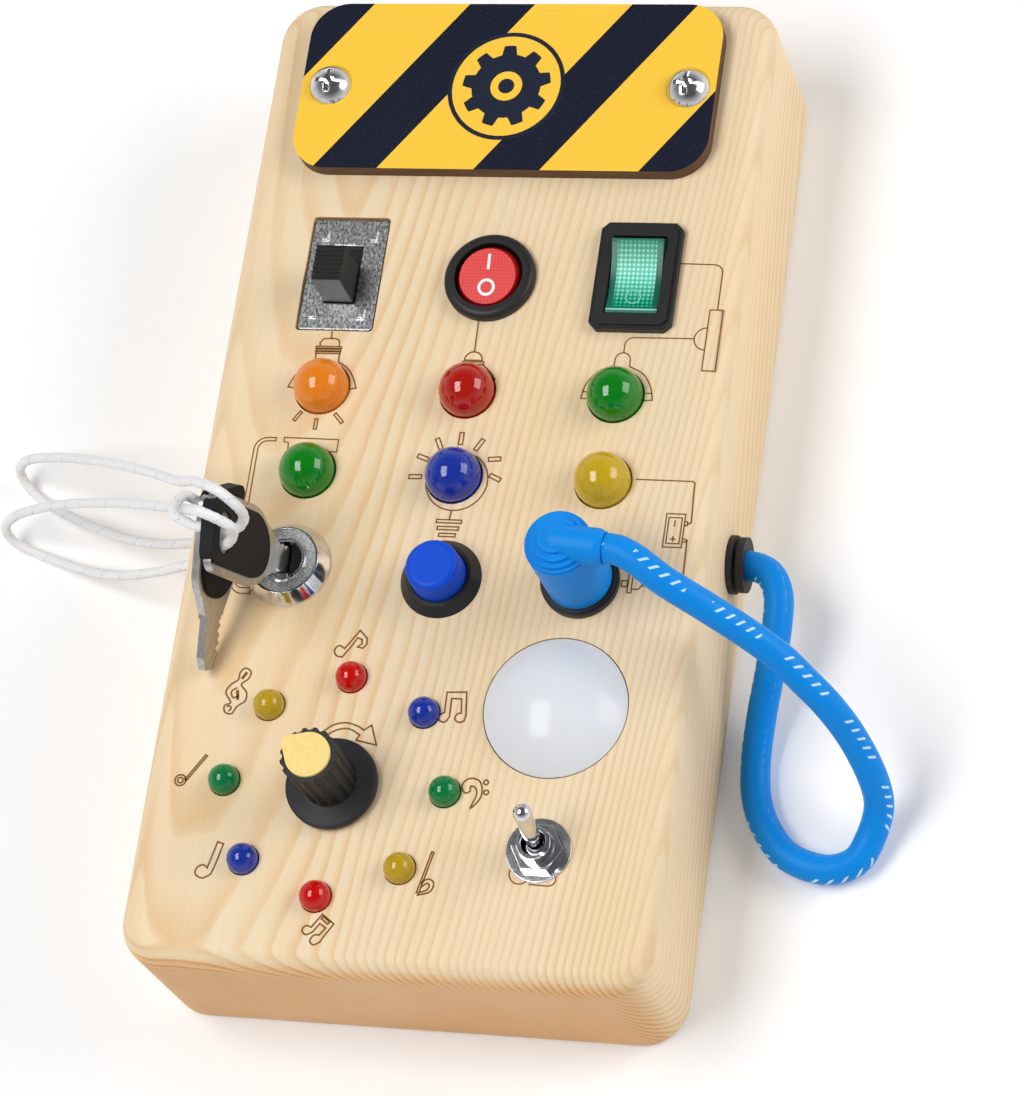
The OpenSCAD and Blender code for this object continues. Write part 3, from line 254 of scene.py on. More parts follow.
def smooth_line(route, step):
    """Points about `step` apart on a smooth curve through the route, all in metres."""
    points = [Vector(p) * MM for p in route]
    line = []
    for i in range(len(points) - 1):
        a, b = points[max(i - 1, 0)], points[i]
        c, d = points[i + 1], points[min(i + 2, len(points) - 1)]
        count = max(1, round((c - b).length / step))
        line += [between(a, b, c, d, k / count) for k in range(count)]
    return line + [points[-1]]


def length_of(line):
    """The length of a line of points."""
    return sum((b - a).length for a, b in zip(line, line[1:]))


def new_object(name, vertices, faces, material, smooth=True):
    """A mesh object from its points and faces, in metres."""
    mesh = bpy.data.meshes.new(name)
    mesh.from_pydata([tuple(v) for v in vertices], [], faces)
    mesh.polygons.foreach_set("use_smooth", [smooth] * len(mesh.polygons))
    mesh.materials.append(material)
    mesh.update()
    made = bpy.data.objects.new(name, mesh)
    bpy.context.collection.objects.link(made)
    return made


def sweep(name, line, radius, sides, material, relief=None):
    """A closed tube round the line. relief(turn, way) adds to the radius at a point of its wall."""
    vertices, places, way = [], [], 0.0
    side = (line[1] - line[0]).orthogonal().normalized()
    for i, point in enumerate(line):
        before, after = line[max(i - 1, 0)], line[min(i + 1, len(line) - 1)]
        ahead = (after - before).normalized()
        side = (side - side.dot(ahead) * ahead).normalized()
        across = ahead.cross(side)
        way += (point - before).length
        for k in range(sides):
            turn = 2 * math.pi * k / sides
            r = radius + (relief(turn, way) if relief else 0)
            vertices.append(point + r * (math.cos(turn) * side + math.sin(turn) * across))
            places.append((k / sides, way))
    first_cap = tuple(range(sides))[::-1]
    last_cap = tuple(len(vertices) - sides + k for k in range(sides))
    faces = [first_cap, last_cap]
    for i in range(len(line) - 1):
        for k in range(sides):
            a, b = i * sides + k, i * sides + (k + 1) % sides
            faces.append((a, b, b + sides, a + sides))
    made = new_object(name, vertices, faces, material)
    wall = made.data.uv_layers.new(name="wall")
    for loop in made.data.loops:
        wall.data[loop.index].uv = places[loop.vertex_index]
    return made


print("sweep ready")

# %% [markdown]
# ## The blue cable
# Its jacket is soft blue plastic with a dull shine. Real cables carry small print along one side.
# Here that row is groups of plain slanted ticks. They are worked out from the map on the wall,
# whose first coordinate goes once round the cable, and whose second is the way along it in
# metres.

# %% The cable's jacket
CABLE_BLUE = (0.002, 0.24, 0.72)
CABLE_LIGHT_BLUE = (0.006, 0.26, 0.8)
TICK_BLUE = (0.5, 0.74, 0.9)
ROW_AT, ROW_HALF = 0.31, 0.042
TICK_PITCH, TICK_SHARE, TICK_SLANT = 2.1 * MM, 0.26, 12 * MM
GROUP_PITCH, GROUP_SHARE = 15 * MM, 0.68

rubber, tree, skin = new_material(
    "blue_soft_plastic", Roughness=0.4, Specular_IOR_Level=0.12, Subsurface_Weight=0.08,
    Subsurface_Radius=(0.0006, 0.0009, 0.002),
)
jacket = specks(tree, CABLE_BLUE, CABLE_LIGHT_BLUE, 900)["Color"]
round_it, along_it, _ = axes(tree, add(tree, "UVMap", uv_map="wall").outputs[0])
row = calc(tree, "COMPARE", round_it, ROW_AT, ROW_HALF)
slanted = calc(tree, "MULTIPLY_ADD", round_it, TICK_SLANT, along_it)
ticks = calc(tree, "MULTIPLY", row, repeated(tree, slanted, TICK_PITCH, TICK_SHARE))
ticks = calc(tree, "MULTIPLY", ticks, repeated(tree, along_it, GROUP_PITCH, GROUP_SHARE))
dents = bump(tree, noise(tree, position(tree), 350), 0.1 * MM, 0.35)
dress(tree, skin, blend_colours(tree, ticks, jacket, TICK_BLUE), dents)
finish(rubber, "plug_body")
print("cable jacket done")

# %% [markdown]
# The cable comes out of the board's right side, drops to the floor, makes a loop and rises to the
# plug.

# %% The blue cable
CABLE_D = 5.3 * MM
CABLE_SIDES = 28
cable_route = [
    [38.6, -9, 13], [44, -9, 13], [50.5, -9, 13], [54.6, -10.6, 13.5], [56.8, -14.5, 13.8],
    [57, -20, 12.5], [56.2, -27, 10], [54.6, -34.5, 5.5], [54, -42, 3], [55, -49, 2.8],
    [57.6, -54.5, 2.8], [61.8, -59, 2.8], [68.5, -61, 2.8], [73.7, -59.3, 3], [76.1, -55, 3.8],
    [77.6, -50.3, 7], [77.1, -47, 13], [74.5, -42.8, 20], [71.2, -39.6, 26.5], [67, -36.5, 31],
    [63.5, -34, 34], [58.2, -31.4, 38], [52, -29, 43], [45.2, -26.2, 47], [39.8, -23, 49],
    [36.8, -21.75, 49.3], [34.75, -21.55, 49.3],
]
cable_line = smooth_line(cable_route, 1.2 * MM)
cable = sweep("cable_jacket", cable_line, CABLE_D / 2, CABLE_SIDES, rubber)
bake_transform(cable)
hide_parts("power_cable")
print("cable", round(length_of(cable_line) / MM), "mm")

# %% [markdown]
# ## The cord of the keys
# It is braided from white yarn with a silver thread in it. Four yarns wind one way and four the
# other, and where a yarn lies on top it stands out as a ridge. The ridges are in the mesh itself,
# so they also show at the edge of the cord. The silver thread and the fine fibres are only colour
# and bump, laid out on the same map as the cable's ticks.

# %% White yarn
CORD_D = 1.9 * MM
YARNS = 8
BRAID_PITCH = 5.2 * MM
BRAID_DEPTH = 0.13 * MM
YARN_WHITE, THREAD_SILVER = (0.86, 0.86, 0.87), (0.55, 0.6, 0.7)

yarn, tree, skin = new_material("braided_white_yarn", Roughness=0.55, Sheen_Weight=0.3)
wall = add(tree, "UVMap", uv_map="wall").outputs[0]
round_it, along_it, _ = axes(tree, wall)
winding = calc(tree, "MULTIPLY_ADD", along_it, 1 / BRAID_PITCH, round_it)
silver = calc(tree, "COMPARE", calc(tree, "FRACT", winding), 0.5, 0.03)
seen = calc(tree, "GREATER_THAN", noise(tree, stretched(tree, wall, (30, 1400, 1)), 1.0), 0.5)
silver = calc(tree, "MULTIPLY", silver, seen)
fibres = noise(tree, stretched(tree, wall, (60, 4000, 1)), 1.0, 3)
dress(
    tree, skin, blend_colours(tree, silver, YARN_WHITE, THREAD_SILVER),
    bump(tree, fibres, 0.12 * MM, 0.5),
)
finish(yarn, "key_cord_knot")


def braid(turn, way):
    """Two sets of yarns wind round the cord in opposite ways, and each shows as a ridge."""
    lean = 2 * math.pi * way / BRAID_PITCH
    one = math.cos(YARNS / 2 * (turn + lean))
    other = math.cos(YARNS / 2 * (turn - lean))
    return BRAID_DEPTH * (max(one, other) - 1)


print("yarn done")

# %% [markdown]
# The cord is one piece, and both its ends go into the left side of the board. Each half runs out
# to a bend on the floor and comes back up. In the middle the cord passes through the holes of
# both keys and lies round the bow of the key in the lock.

# %% The white braided cord
key_cord_route = [
    [-40, -9.5, 16], [-47.5, -9.5, 16], [-52.6, -9.9, 15.7], [-59.6, -9.3, 13], [-69.6, -6.2, 8],
    [-79.3, -2.1, 4.5], [-88.5, 2.5, 1.5], [-92.9, 5.7, 2.1], [-93.7, 7.7, 5.4], [-90.4, 8.2, 9.3],
    [-81.9, 6.8, 14.1], [-69, 2, 24], [-55.6, -4.6, 36], [-45.4, -10.6, 46.4], [-36.9, -15.9, 58.9],
    [-30.6, -19.6, 64.4], [-27.7, -21.2, 62.4], [-27.1, -21.6, 59.6], [-27.2, -22.1, 57.9],
    [-28.3, -23.2, 56.7], [-30.6, -24.4, 56.6], [-32.9, -24.1, 56.8], [-34.9, -23.5, 57],
    [-36.7, -23.2, 56.6], [-40.6, -20.9, 56.5], [-40.1, -16.8, 54.5], [-37.1, -17.2, 50.9],
    [-34.8, -18, 51], [-33.2, -19.7, 51.3], [-33.7, -23.5, 52.9], [-33.8, -25.5, 54.9],
    [-32.6, -26.5, 56.2], [-30.6, -26.8, 56.8], [-29, -26.3, 57.9], [-28, -25.6, 59.5],
    [-27.9, -25.3, 62.6], [-32.6, -24, 65.1], [-38, -20.4, 56.8], [-44.7, -15.4, 45.3],
    [-56.1, -10.7, 35.2], [-68.3, -6.3, 24.5], [-80.5, -3.1, 14.9], [-89.7, -2.9, 9.8],
    [-93.7, -4.2, 6.8], [-93.5, -5.7, 3.2], [-89.1, -7.3, 1.3], [-79, -11.1, 3.9],
    [-69.3, -13.8, 8], [-59.6, -14.8, 13], [-52.8, -14.3, 15.7], [-47.5, -14, 16], [-40, -14, 16],
]
key_cord_line = smooth_line(key_cord_route, 0.4 * MM)
key_cord = sweep("braided_key_cord", key_cord_line, CORD_D / 2, 3 * YARNS, yarn, braid)
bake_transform(key_cord)
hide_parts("key_cord")
print("key cord", round(length_of(key_cord_line) / MM), "mm in one piece, folded in half")

# %% [markdown]
# ## The pine board
# Pine grows in rings: pale early wood and a thin darker line of late wood. The board was cut flat
# from the trunk, so its long grain draws stretched arches on the face, and its ends show the
# rings as flat arcs. Both come out right if the colour is worked out from the distance to the
# middle of the trunk, a line that runs along the board below it and leans a little. End grain
# soaks up light and dirt, so it is darker. One node group does this, and the plywood of the back
# uses it as well.

# %% A node group for wood
# How far the trunk's middle lies to the left and below the back, and how it leans up the board
PITH_X, PITH_Z = 30 * MM, 20 * MM
LEAN_X, LEAN_Z = -0.04, -0.05
DRIFT, WANDER = 11 * MM, 1.1 * MM
END_CONTRAST = 0.8
END_TINT = (0.95, 0.76, 0.58)


wood, given, result = group_tree(
    "wood grain",
    {"Ring Spacing": "Float", "Contrast": "Float", "Early Wood": "Color", "Late Wood": "Color",
     "Tint": "Color"},
    {"Color": "Color", "Height": "Float"},
)
place = position(wood)
x, y, z = axes(wood, place)

# The distance to the trunk's middle, with a slow drift and a quick wander
off_x = calc(wood, "MULTIPLY_ADD", y, LEAN_X, calc(wood, "ADD", x, PITH_X))
off_z = calc(wood, "MULTIPLY_ADD", y, LEAN_Z, calc(wood, "ADD", z, PITH_Z))
squares = calc(wood, "MULTIPLY_ADD", off_z, off_z, calc(wood, "MULTIPLY", off_x, off_x))
trunk = calc(wood, "SQRT", squares)
for size, scale in ((DRIFT, (16, 5, 16)), (WANDER, (90, 14, 90))):
    soft = noise(wood, stretched(wood, place, scale), 1.0)
    trunk = calc(wood, "MULTIPLY_ADD", soft, size, trunk)
ring = calc(wood, "FRACT", calc(wood, "DIVIDE", trunk, given["Ring Spacing"]))

# Late wood: a line that darkens slowly and ends sharply, stronger in some years
late = ramp(wood, ring, (0.0, 0.55), (0.05, 0.0), (0.5, 0.12), (0.9, 1.0), (1.0, 0.55))
years = noise(wood, stretched(wood, place, (55, 5, 55)), 1.0)
late = calc(wood, "MULTIPLY", late, ramp(wood, years, (0.3, 0.3), (0.65, 1.0)))
end_grain = ramp(wood, calc(wood, "ABSOLUTE", facing(wood)[1]), (0.6, 0.0), (0.9, 1.0))
contrast = calc(wood, "MULTIPLY_ADD", end_grain, END_CONTRAST, given["Contrast"])
late = calc(wood, "MULTIPLY", late, contrast)

# Colour: early wood with clouds of a warmer tint, late wood, fibres, and the darker ends
cloud = noise(wood, stretched(wood, place, (40, 9, 40)), 1.0, 3)
cloud = ramp(wood, cloud, (0.35, 0.0), (0.75, 0.8))
fibre = noise(wood, stretched(wood, place, (2600, 60, 2600)), 1.0, 3, 0.6)
early = blend_colours(wood, cloud, given["Early Wood"], given["Tint"])
toned = blend_colours(wood, late, early, given["Late Wood"])
shade = ramp(wood, fibre, (0.25, 0.93), (0.75, 1.0))
fibrous = blend_colours(wood, 1.0, toned, shade, "MULTIPLY")
soaked = blend_colours(wood, end_grain, fibrous, END_TINT, "MULTIPLY")
put_out(wood, result, Color=soaked, Height=calc(wood, "MULTIPLY_ADD", late, 0.7, fibre))
print("group of wood grain:", len(wood.nodes), "nodes")

# %% [markdown]
# The face is finely sanded and has only a soft sheen. The cover at the back is plywood, a peeled
# sheet: its rings are far apart and its surface is rougher.

# %% Pine and plywood
def wooden(name, spacing, contrast, early, late, tint, roughness, relief):
    """A wood finish from the group above."""
    material, tree, skin = new_material(name, Roughness=roughness, Specular_IOR_Level=0.25)
    sockets = {"Ring Spacing": spacing, "Contrast": contrast}
    sockets |= {"Early Wood": (*early, 1), "Late Wood": (*late, 1), "Tint": (*tint, 1)}
    grown = add(tree, "Group", sockets, node_tree=wood).outputs
    dress(tree, skin, grown["Color"], bump(tree, grown["Height"], relief, 0.5))
    return material


pine = wooden(
    "pine", spacing=1.12 * MM, contrast=0.66, early=(0.865, 0.7, 0.475), late=(0.74, 0.43, 0.17),
    tint=(0.88, 0.65, 0.38), roughness=0.5, relief=0.04 * MM,
)
plywood = wooden(
    "plywood", spacing=3.2 * MM, contrast=0.4, early=(0.72, 0.55, 0.36), late=(0.5, 0.31, 0.16),
    tint=(0.7, 0.5, 0.3), roughness=0.6, relief=0.08 * MM,
)
finish(pine, "board_body")
finish(plywood, "back_cover")
print("wood done")

# %% [markdown]
# ## Plastics
# Small parts live from their highlights. Real edges are never sharp, so a Bevel node rounds the
# light on them without touching the mesh. A fine grain, as spark erosion leaves it in a mould,
# keeps flat faces from looking like glass.

# %% Moulded plastic
def rounded_normal(tree, radius):
    """The normal of a surface whose edges look rounded."""
    return add(tree, "Bevel", {"Radius": radius}, samples=4).outputs[0]


def moulded(name, colour, roughness, grain=0.25, edge=0.15 * MM, **sockets):
    """Moulded plastic: a fine grain and a slightly uneven colour."""
    material, tree, skin = new_material(name, Roughness=roughness, **sockets)
    lighter = tuple(min(1, c * 1.25 + 0.004) for c in colour)
    speck = specks(tree, colour, lighter, 1400, 2)
    grained = bump(tree, speck["Height"], 0.04 * MM, grain, Normal=rounded_normal(tree, edge))
    dress(tree, skin, speck["Color"], grained)
    return material


black = moulded("black_plastic", (0.014, 0.014, 0.015), 0.42, Specular_IOR_Level=0.3)
cover_black = moulded("cover_black", (0.009, 0.009, 0.01), 0.55, Specular_IOR_Level=0.15)
knob_black = moulded(
    "knob_black", (0.018, 0.018, 0.019), 0.5, edge=0.3 * MM, Specular_IOR_Level=0.28
)
blue_cap = moulded(
    "blue_cap", (0.003, 0.065, 0.56), 0.4, grain=0.1, edge=0.3 * MM, Specular_IOR_Level=0.15
)
cream = moulded("cream_plastic", (0.78, 0.59, 0.2), 0.5, grain=0.1, Specular_IOR_Level=0.3)

finish(black, "slide_knob", "round_rocker_housing", "rect_rocker_housing", "push_button_housing")
finish(black, "rotary_switch_body", "plug_socket", "battery_box", "battery_lid")
finish(cover_black, "key_cover", "spare_key_cover")
finish(knob_black, "knob")
finish(blue_cap, "push_button_cap")
finish(cream, "knob_cap")
finish(moulded("black_rubber", (0.012, 0.012, 0.012), 0.6), "cable_grommet")
finish(moulded("phenolic", (0.14, 0.05, 0.02), 0.5), "slide_switch_base")
circuit = moulded("solder_mask", (0.01, 0.1, 0.035), 0.35)
finish(circuit, "dome_lamp_board", "lamp_board", "ring_board")
print("plastics done")

# %% [markdown]
# ## Metals
# A metal is mostly a mirror, and what tells one from another is how it blurs: chrome hardly at
# all, a stamped and zinc plated frame in fine spots, a sintered lock face in grains. Noise
# stretched along an axis gives brushed marks, and it changes the colour, the roughness and the
# relief at once. All the metals share it, so it is a node group.

# %% Plated, brushed and sintered metal
metal_marks, given, result = group_tree(
    "metal marks",
    {"Marks per Metre": "Vector", "Dark Color": "Color", "Light Color": "Color"},
    {"Color": "Color", "Height": "Float"},
)
place = stretched(metal_marks, position(metal_marks), given["Marks per Metre"])
marks = noise(metal_marks, place, 1.0, 3)
sharp = ramp(metal_marks, marks, (0.3, 0.0), (0.7, 1.0))
mixed = blend_colours(metal_marks, sharp, given["Dark Color"], given["Light Color"])
put_out(metal_marks, result, Color=mixed, Height=marks)


def metal(name, colour, roughness, marks_per_m=(500, 500, 500), unevenness=0.12, edge=0.12 * MM,
          relief=0.15, dark=0.72):
    """Metal with small marks. dark is how much darker the marks are than the rest."""
    material, tree, skin = new_material(name, Metallic=1)
    sockets = {"Marks per Metre": marks_per_m, "Light Color": (*colour, 1)}
    sockets["Dark Color"] = (*(c * dark for c in colour), 1)
    marks = add(tree, "Group", sockets, node_tree=metal_marks).outputs
    relief = bump(tree, marks["Height"], 0.03 * MM, relief, Normal=rounded_normal(tree, edge))
    dress(tree, skin, marks["Color"], relief)
    rough = calc(tree, "MULTIPLY_ADD", marks["Height"], unevenness, roughness - unevenness / 2)
    tree.links.new(rough, skin.inputs["Roughness"])
    return material


chrome = metal("chrome", (0.86, 0.87, 0.9), 0.08, unevenness=0.06, edge=0.2 * MM, relief=0.03)
bright = metal("bright_steel", (0.78, 0.78, 0.8), 0.16, relief=0.08)
screw_steel = metal("screw_steel", (0.62, 0.62, 0.64), 0.3)
galvanised = metal(
    "galvanised_steel", (0.92, 0.93, 0.95), 0.3, (2400, 1400, 2400), 0.3, edge=0.4 * MM,
    relief=1.0, dark=0.3,
)
sintered = metal(
    "grey_sintered_metal", (0.78, 0.78, 0.79), 0.45, (3600, 3600, 3600), 0.2, relief=1.2,
    dark=0.35,
)
dark_sintered = metal(
    "dark_sintered_metal", (0.06, 0.06, 0.062), 0.55, (2200, 2200, 2200), 0.2, relief=1.5,
    dark=0.3,
)
key_steel = metal("key_steel", (0.55, 0.54, 0.52), 0.32, (1500, 200, 1500), 0.1, edge=0.2 * MM)
can = metal("cell_can", (0.5, 0.22, 0.03), 0.3, edge=0.2 * MM)

finish(chrome, "toggle_housing", "toggle_washer", "toggle_nut", "toggle_lever")
finish(chrome, "lock_housing", "lock_cylinder")
finish(bright, "sign_screws", "push_button_nut", "rotary_switch_nut", "rotary_shaft", "lock_nut")
finish(bright, "plug_socket_nut", "plug_pin")
finish(screw_steel, "back_cover_screws", "battery_lid_screw", "battery_contacts")
finish(screw_steel, "push_button_spring")
finish(galvanised, "slide_switch_frame")
finish(sintered, "lock_face")
finish(dark_sintered, "lock_cylinder_face")
finish(key_steel, "key_blade", "spare_key_blade")
finish(can, "batteries")
print("metals done")

# %% [markdown]
# ## Lamps
# The lamps are cast from tinted epoxy. Light goes in, takes on the colour and comes out again.
# Pure glass would show the dark inside of the board, so each tint is a mix: a part of the light
# passes, a part scatters just below the skin. A clear coat gives the hard highlights of the
# windows. The dome is milky all through, and duller.

# %% Tinted lamps
def tinted(name, colour, clear=0.04, scatter=0.3, radius=2 * MM, coat=0.7, roughness=0.12):
    """Tinted epoxy: part clear, part milky, with a polished skin."""
    return new_material(
        name, Base_Color=(*colour, 1), Roughness=roughness, IOR=1.5, Specular_IOR_Level=0.12,
        Transmission_Weight=clear, Subsurface_Weight=scatter,
        Subsurface_Radius=tuple(radius * (0.25 + c) for c in colour),
        Coat_Weight=coat, Coat_Roughness=0.06,
    )[0]


cloudy = dict(scatter=0.6, radius=4 * MM)
orange = tinted("orange_lamp", (1.0, 0.28, 0.012), clear=0.2, **cloudy)
red = tinted("red_lamp", (0.72, 0.012, 0.002), clear=0.45, roughness=0.05)
small_red = tinted("small_red_lamp", (0.62, 0.003, 0.001), clear=0.1)
green = tinted("green_lamp", (0.0005, 0.28, 0.008), clear=0.3, roughness=0.08)
small_green = tinted("small_green_lamp", (0.001, 0.2, 0.05))
blue = tinted("blue_lamp", (0.012, 0.04, 0.4), clear=0.15, **cloudy)
yellow = tinted("yellow_lamp", (0.82, 0.56, 0.01), clear=0.35, **cloudy)
olive = tinted("olive_lamp", (0.5, 0.33, 0.01))
milk = tinted(
    "milk_lens", (0.75, 0.77, 0.8), clear=0.0, scatter=0.5, radius=3 * MM, coat=0.2,
    roughness=0.22,
)

finish(orange, "led_large_orange")
finish(red, "led_large_red")
finish(small_red, "led_small_red")
finish(green, "led_large_green")
finish(small_green, "led_small_green")
finish(blue, "led_large_blue", "led_small_blue")
finish(yellow, "led_large_yellow")
finish(olive, "led_small_olive")
finish(milk, "dome_lens")
print("lamps done")

# %% [markdown]
# ## Printed and burned marks
# The marks are strips of mesh a few hundredths of a millimetre thick that lie on the part they
# mark. On the flat board their height is known. On a curved rocker each point of a strip is
# dropped on the surface below it with a ray, so the same helper serves both. An image could do it
# too, but a strip stays sharp from close by and turns with its piece.

# %% Lines in the plane
def arc(x, y, r, start, end, steps=12):
    """Points on an arc, in millimetres and degrees."""
    turns = [math.radians(start + (end - start) * k / steps) for k in range(steps + 1)]
    return [(x + r * math.cos(t), y + r * math.sin(t)) for t in turns]


def circle(x, y, r, steps=24):
    """Points on a circle; the first is not repeated."""
    return arc(x, y, r, 0, 360, steps)[:-1]


def bar(a, b, width):
    """The four corners of a bar from a to b."""
    way = (Vector(b) - Vector(a)).normalized() * width / 2
    side = Vector((-way.y, way.x))
    a, b = Vector(a), Vector(b)
    return [tuple(p) for p in (a - side, b - side, b + side, a + side)]


def curved(points, closed=False, steps=4):
    """A smooth line through flat points."""
    count, line = len(points), []
    for i in range(count if closed else count - 1):
        ids = (i - 1, i, i + 1, i + 2)
        if not closed:
            ids = (min(max(j, 0), count - 1) for j in ids)
        corners = [Vector(points[j % count]) for j in ids]
        line += [tuple(between(*corners, k / steps)) for k in range(steps)]
    return line if closed else line + [points[-1]]


print("line helpers ready")

# %% [markdown]
# A strip has four points at each point of its line: two a hair above the surface and two just
# below it. Where the line turns, the strip is made wider by the turn, so that its width stays
# even round a corner.

# %% Strips that lie on a surface
LIFT = 0.03 * MM
SINK = 0.04 * MM
RAY_FROM = 0.2


def surface_of(name):
    """A function that gives the height of a CAD node's top surface at x, y."""
    mesh = nodes[name].data
    tree = BVHTree.FromPolygons([v.co for v in mesh.vertices], [p.vertices for p in mesh.polygons])

    def height(x, y):
        hit = tree.ray_cast(Vector((x, y, RAY_FROM)), Vector((0, 0, -1)))[0]
        return hit.z if hit else FACE

    return height


def strips(name, lines, width, material, body, height=None):
    """One mesh of flat strips. Each line is (points, closed), in millimetres."""
    vertices, faces = [], []
    for points, closed in lines:
        flat = [Vector(p) * MM for p in points]
        count, first = len(flat), len(vertices)
        for i, p in enumerate(flat):
            before = flat[i - 1] if closed or i else p
            after = flat[(i + 1) % count] if closed or i < count - 1 else p
            one, two = (p - before).normalized(), (after - p).normalized()
            way = (one + two).normalized() if (one + two).length > 0.2 else two
            side = Vector((-way.y, way.x)) * width / 2
            cos_half = max(0.5, abs(way.dot(two if two.length else one)))
            for sign in (1, -1):
                q = p + side * sign / cos_half
                top = height(q.x, q.y) if height else FACE
                vertices += [(q.x, q.y, top + LIFT), (q.x, q.y, top - SINK)]
        for i in range(count if closed else count - 1):
            a, b = first + 4 * i, first + 4 * ((i + 1) % count)
            for j, k in ((0, 2), (2, 3), (3, 1), (1, 0)):
                faces.append((a + k, b + k, b + j, a + j))
        if not closed:
            end = first + 4 * (count - 1)
            faces += [(first, first + 2, first + 3, first + 1), (end + 1, end + 3, end + 2, end)]
    made = new_object(name, vertices, faces, material, smooth=False)
    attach(made, body)


print("strip helper ready")

# %% [markdown]
# ## The burned icons
# The icons on the face are burned in by a laser: thin brown lines on the pale wood, darker where
# the beam was slow. They are the usual signs for a lamp, a battery, a plug, and notes and clefs,
# drawn here as open and closed lines in board millimetres. The first set goes with the lamps:
# bulbs with their screw threads, and rays of light.

# %% Burned lamps
BURN_DARK, BURN_LIGHT = (0.15, 0.062, 0.016), (0.32, 0.15, 0.045)
LAMP_LINE, CIRCUIT_LINE, MUSIC_LINE = 0.27 * MM, 0.24 * MM, 0.3 * MM


def speckled(name, first, second, per_m, detail=3, **sockets):
    """A finish whose colour changes in fine specks between two."""
    material, tree, skin = new_material(name, **sockets)
    dress(tree, skin, specks(tree, first, second, per_m, detail)["Color"])
    return material


burn = speckled(
    "burned_line", BURN_DARK, BURN_LIGHT, 1500, Roughness=0.85, Specular_IOR_Level=0.1
)


def lamp_base(x, y, widths, pitch, tall):
    """The screw thread of a bulb: bars under each other."""
    heights = (y - i * pitch for i in range(len(widths)))
    return [(bar((x - w / 2, h), (x + w / 2, h), tall), True) for w, h in zip(widths, heights)]


def rays(pairs, width):
    """Rays of light as outlined bars."""
    return [(bar(a, b, width), True) for a, b in pairs]


lamp_lines = [
    ([(-26.8, 25.6), (-26.7, 24.1)], False),
    ([(-28.6, 22.7), (-28.7, 23.3), (-28.2, 24), (-27.6, 24.15), (-25.9, 24.2), (-25.2, 23.9),
      (-25, 23.3), (-25, 22.7)], False),
    *lamp_base(-26.9, 22.4, (4.8, 4.7, 4.6), 0.52, 0.36),
    ([(-29.1, 21.2), (-29.1, 19.6), *curved([(-29.4, 19.4), (-31.2, 18.2), (-32.5, 16.4),
      (-33.3, 14.4)]), (-31.9, 14.3)], False),
    ([(-24.7, 21.2), (-24.6, 19.6), *curved([(-24.5, 19.5), (-22.6, 18.3), (-21.3, 16.5),
      (-20.5, 14.5)]), (-21.8, 14.3)], False),
    *rays([((-30, 9.6), (-31.1, 7.9)), ((-26.9, 8.3), (-26.9, 6.3)), ((-23.6, 9.4), (-22, 7.7))],
          0.55),
    ([(0.35, 28.6), (0.5, 22.1)], False),
    (arc(0.5, 20.6, 1.65, 0, 180), True),
    *lamp_base(0.5, 20.05, (4,), 1, 0.5),
    (curved([(2.4, 19.8), (4, 18.4), (5.2, 16.9)]), False),
    (curved([(-1.4, 19.8), (-2.6, 18.6), (-3.6, 17.2)]), False),
    *rays([
        ((-6.9, 1.8), (-4.8, 1.1)), ((-3.8, 5.2), (-2.8, 3.2)), ((0.6, 6.5), (0.6, 4.2)),
        ((4.7, 5.3), (3.5, 3.2)), ((6.2, 1.5), (8.4, 1.7)), ((-7.9, -2.3), (-5.6, -2.2)),
        ((6.9, -1.5), (8.9, -2.4)),
    ], 0.75),
    (arc(1, -2.8, 5.65, -215, 60, 36), False),
    ([(0.9, -8.5), (0.75, -10.2)], False),
    *lamp_base(0.75, -10.55, (4.6, 3.9, 3), 1.3, 0.6),
]
strips("burned_lamp_icons", lamp_lines, LAMP_LINE, burn, "board")
print("burned lamp lines:", len(lamp_lines))

# %% [markdown]
# The second set is the wiring: from the green rocker to its lamp, a long lead to the lock, and
# from the yellow lamp through a battery to the plug.

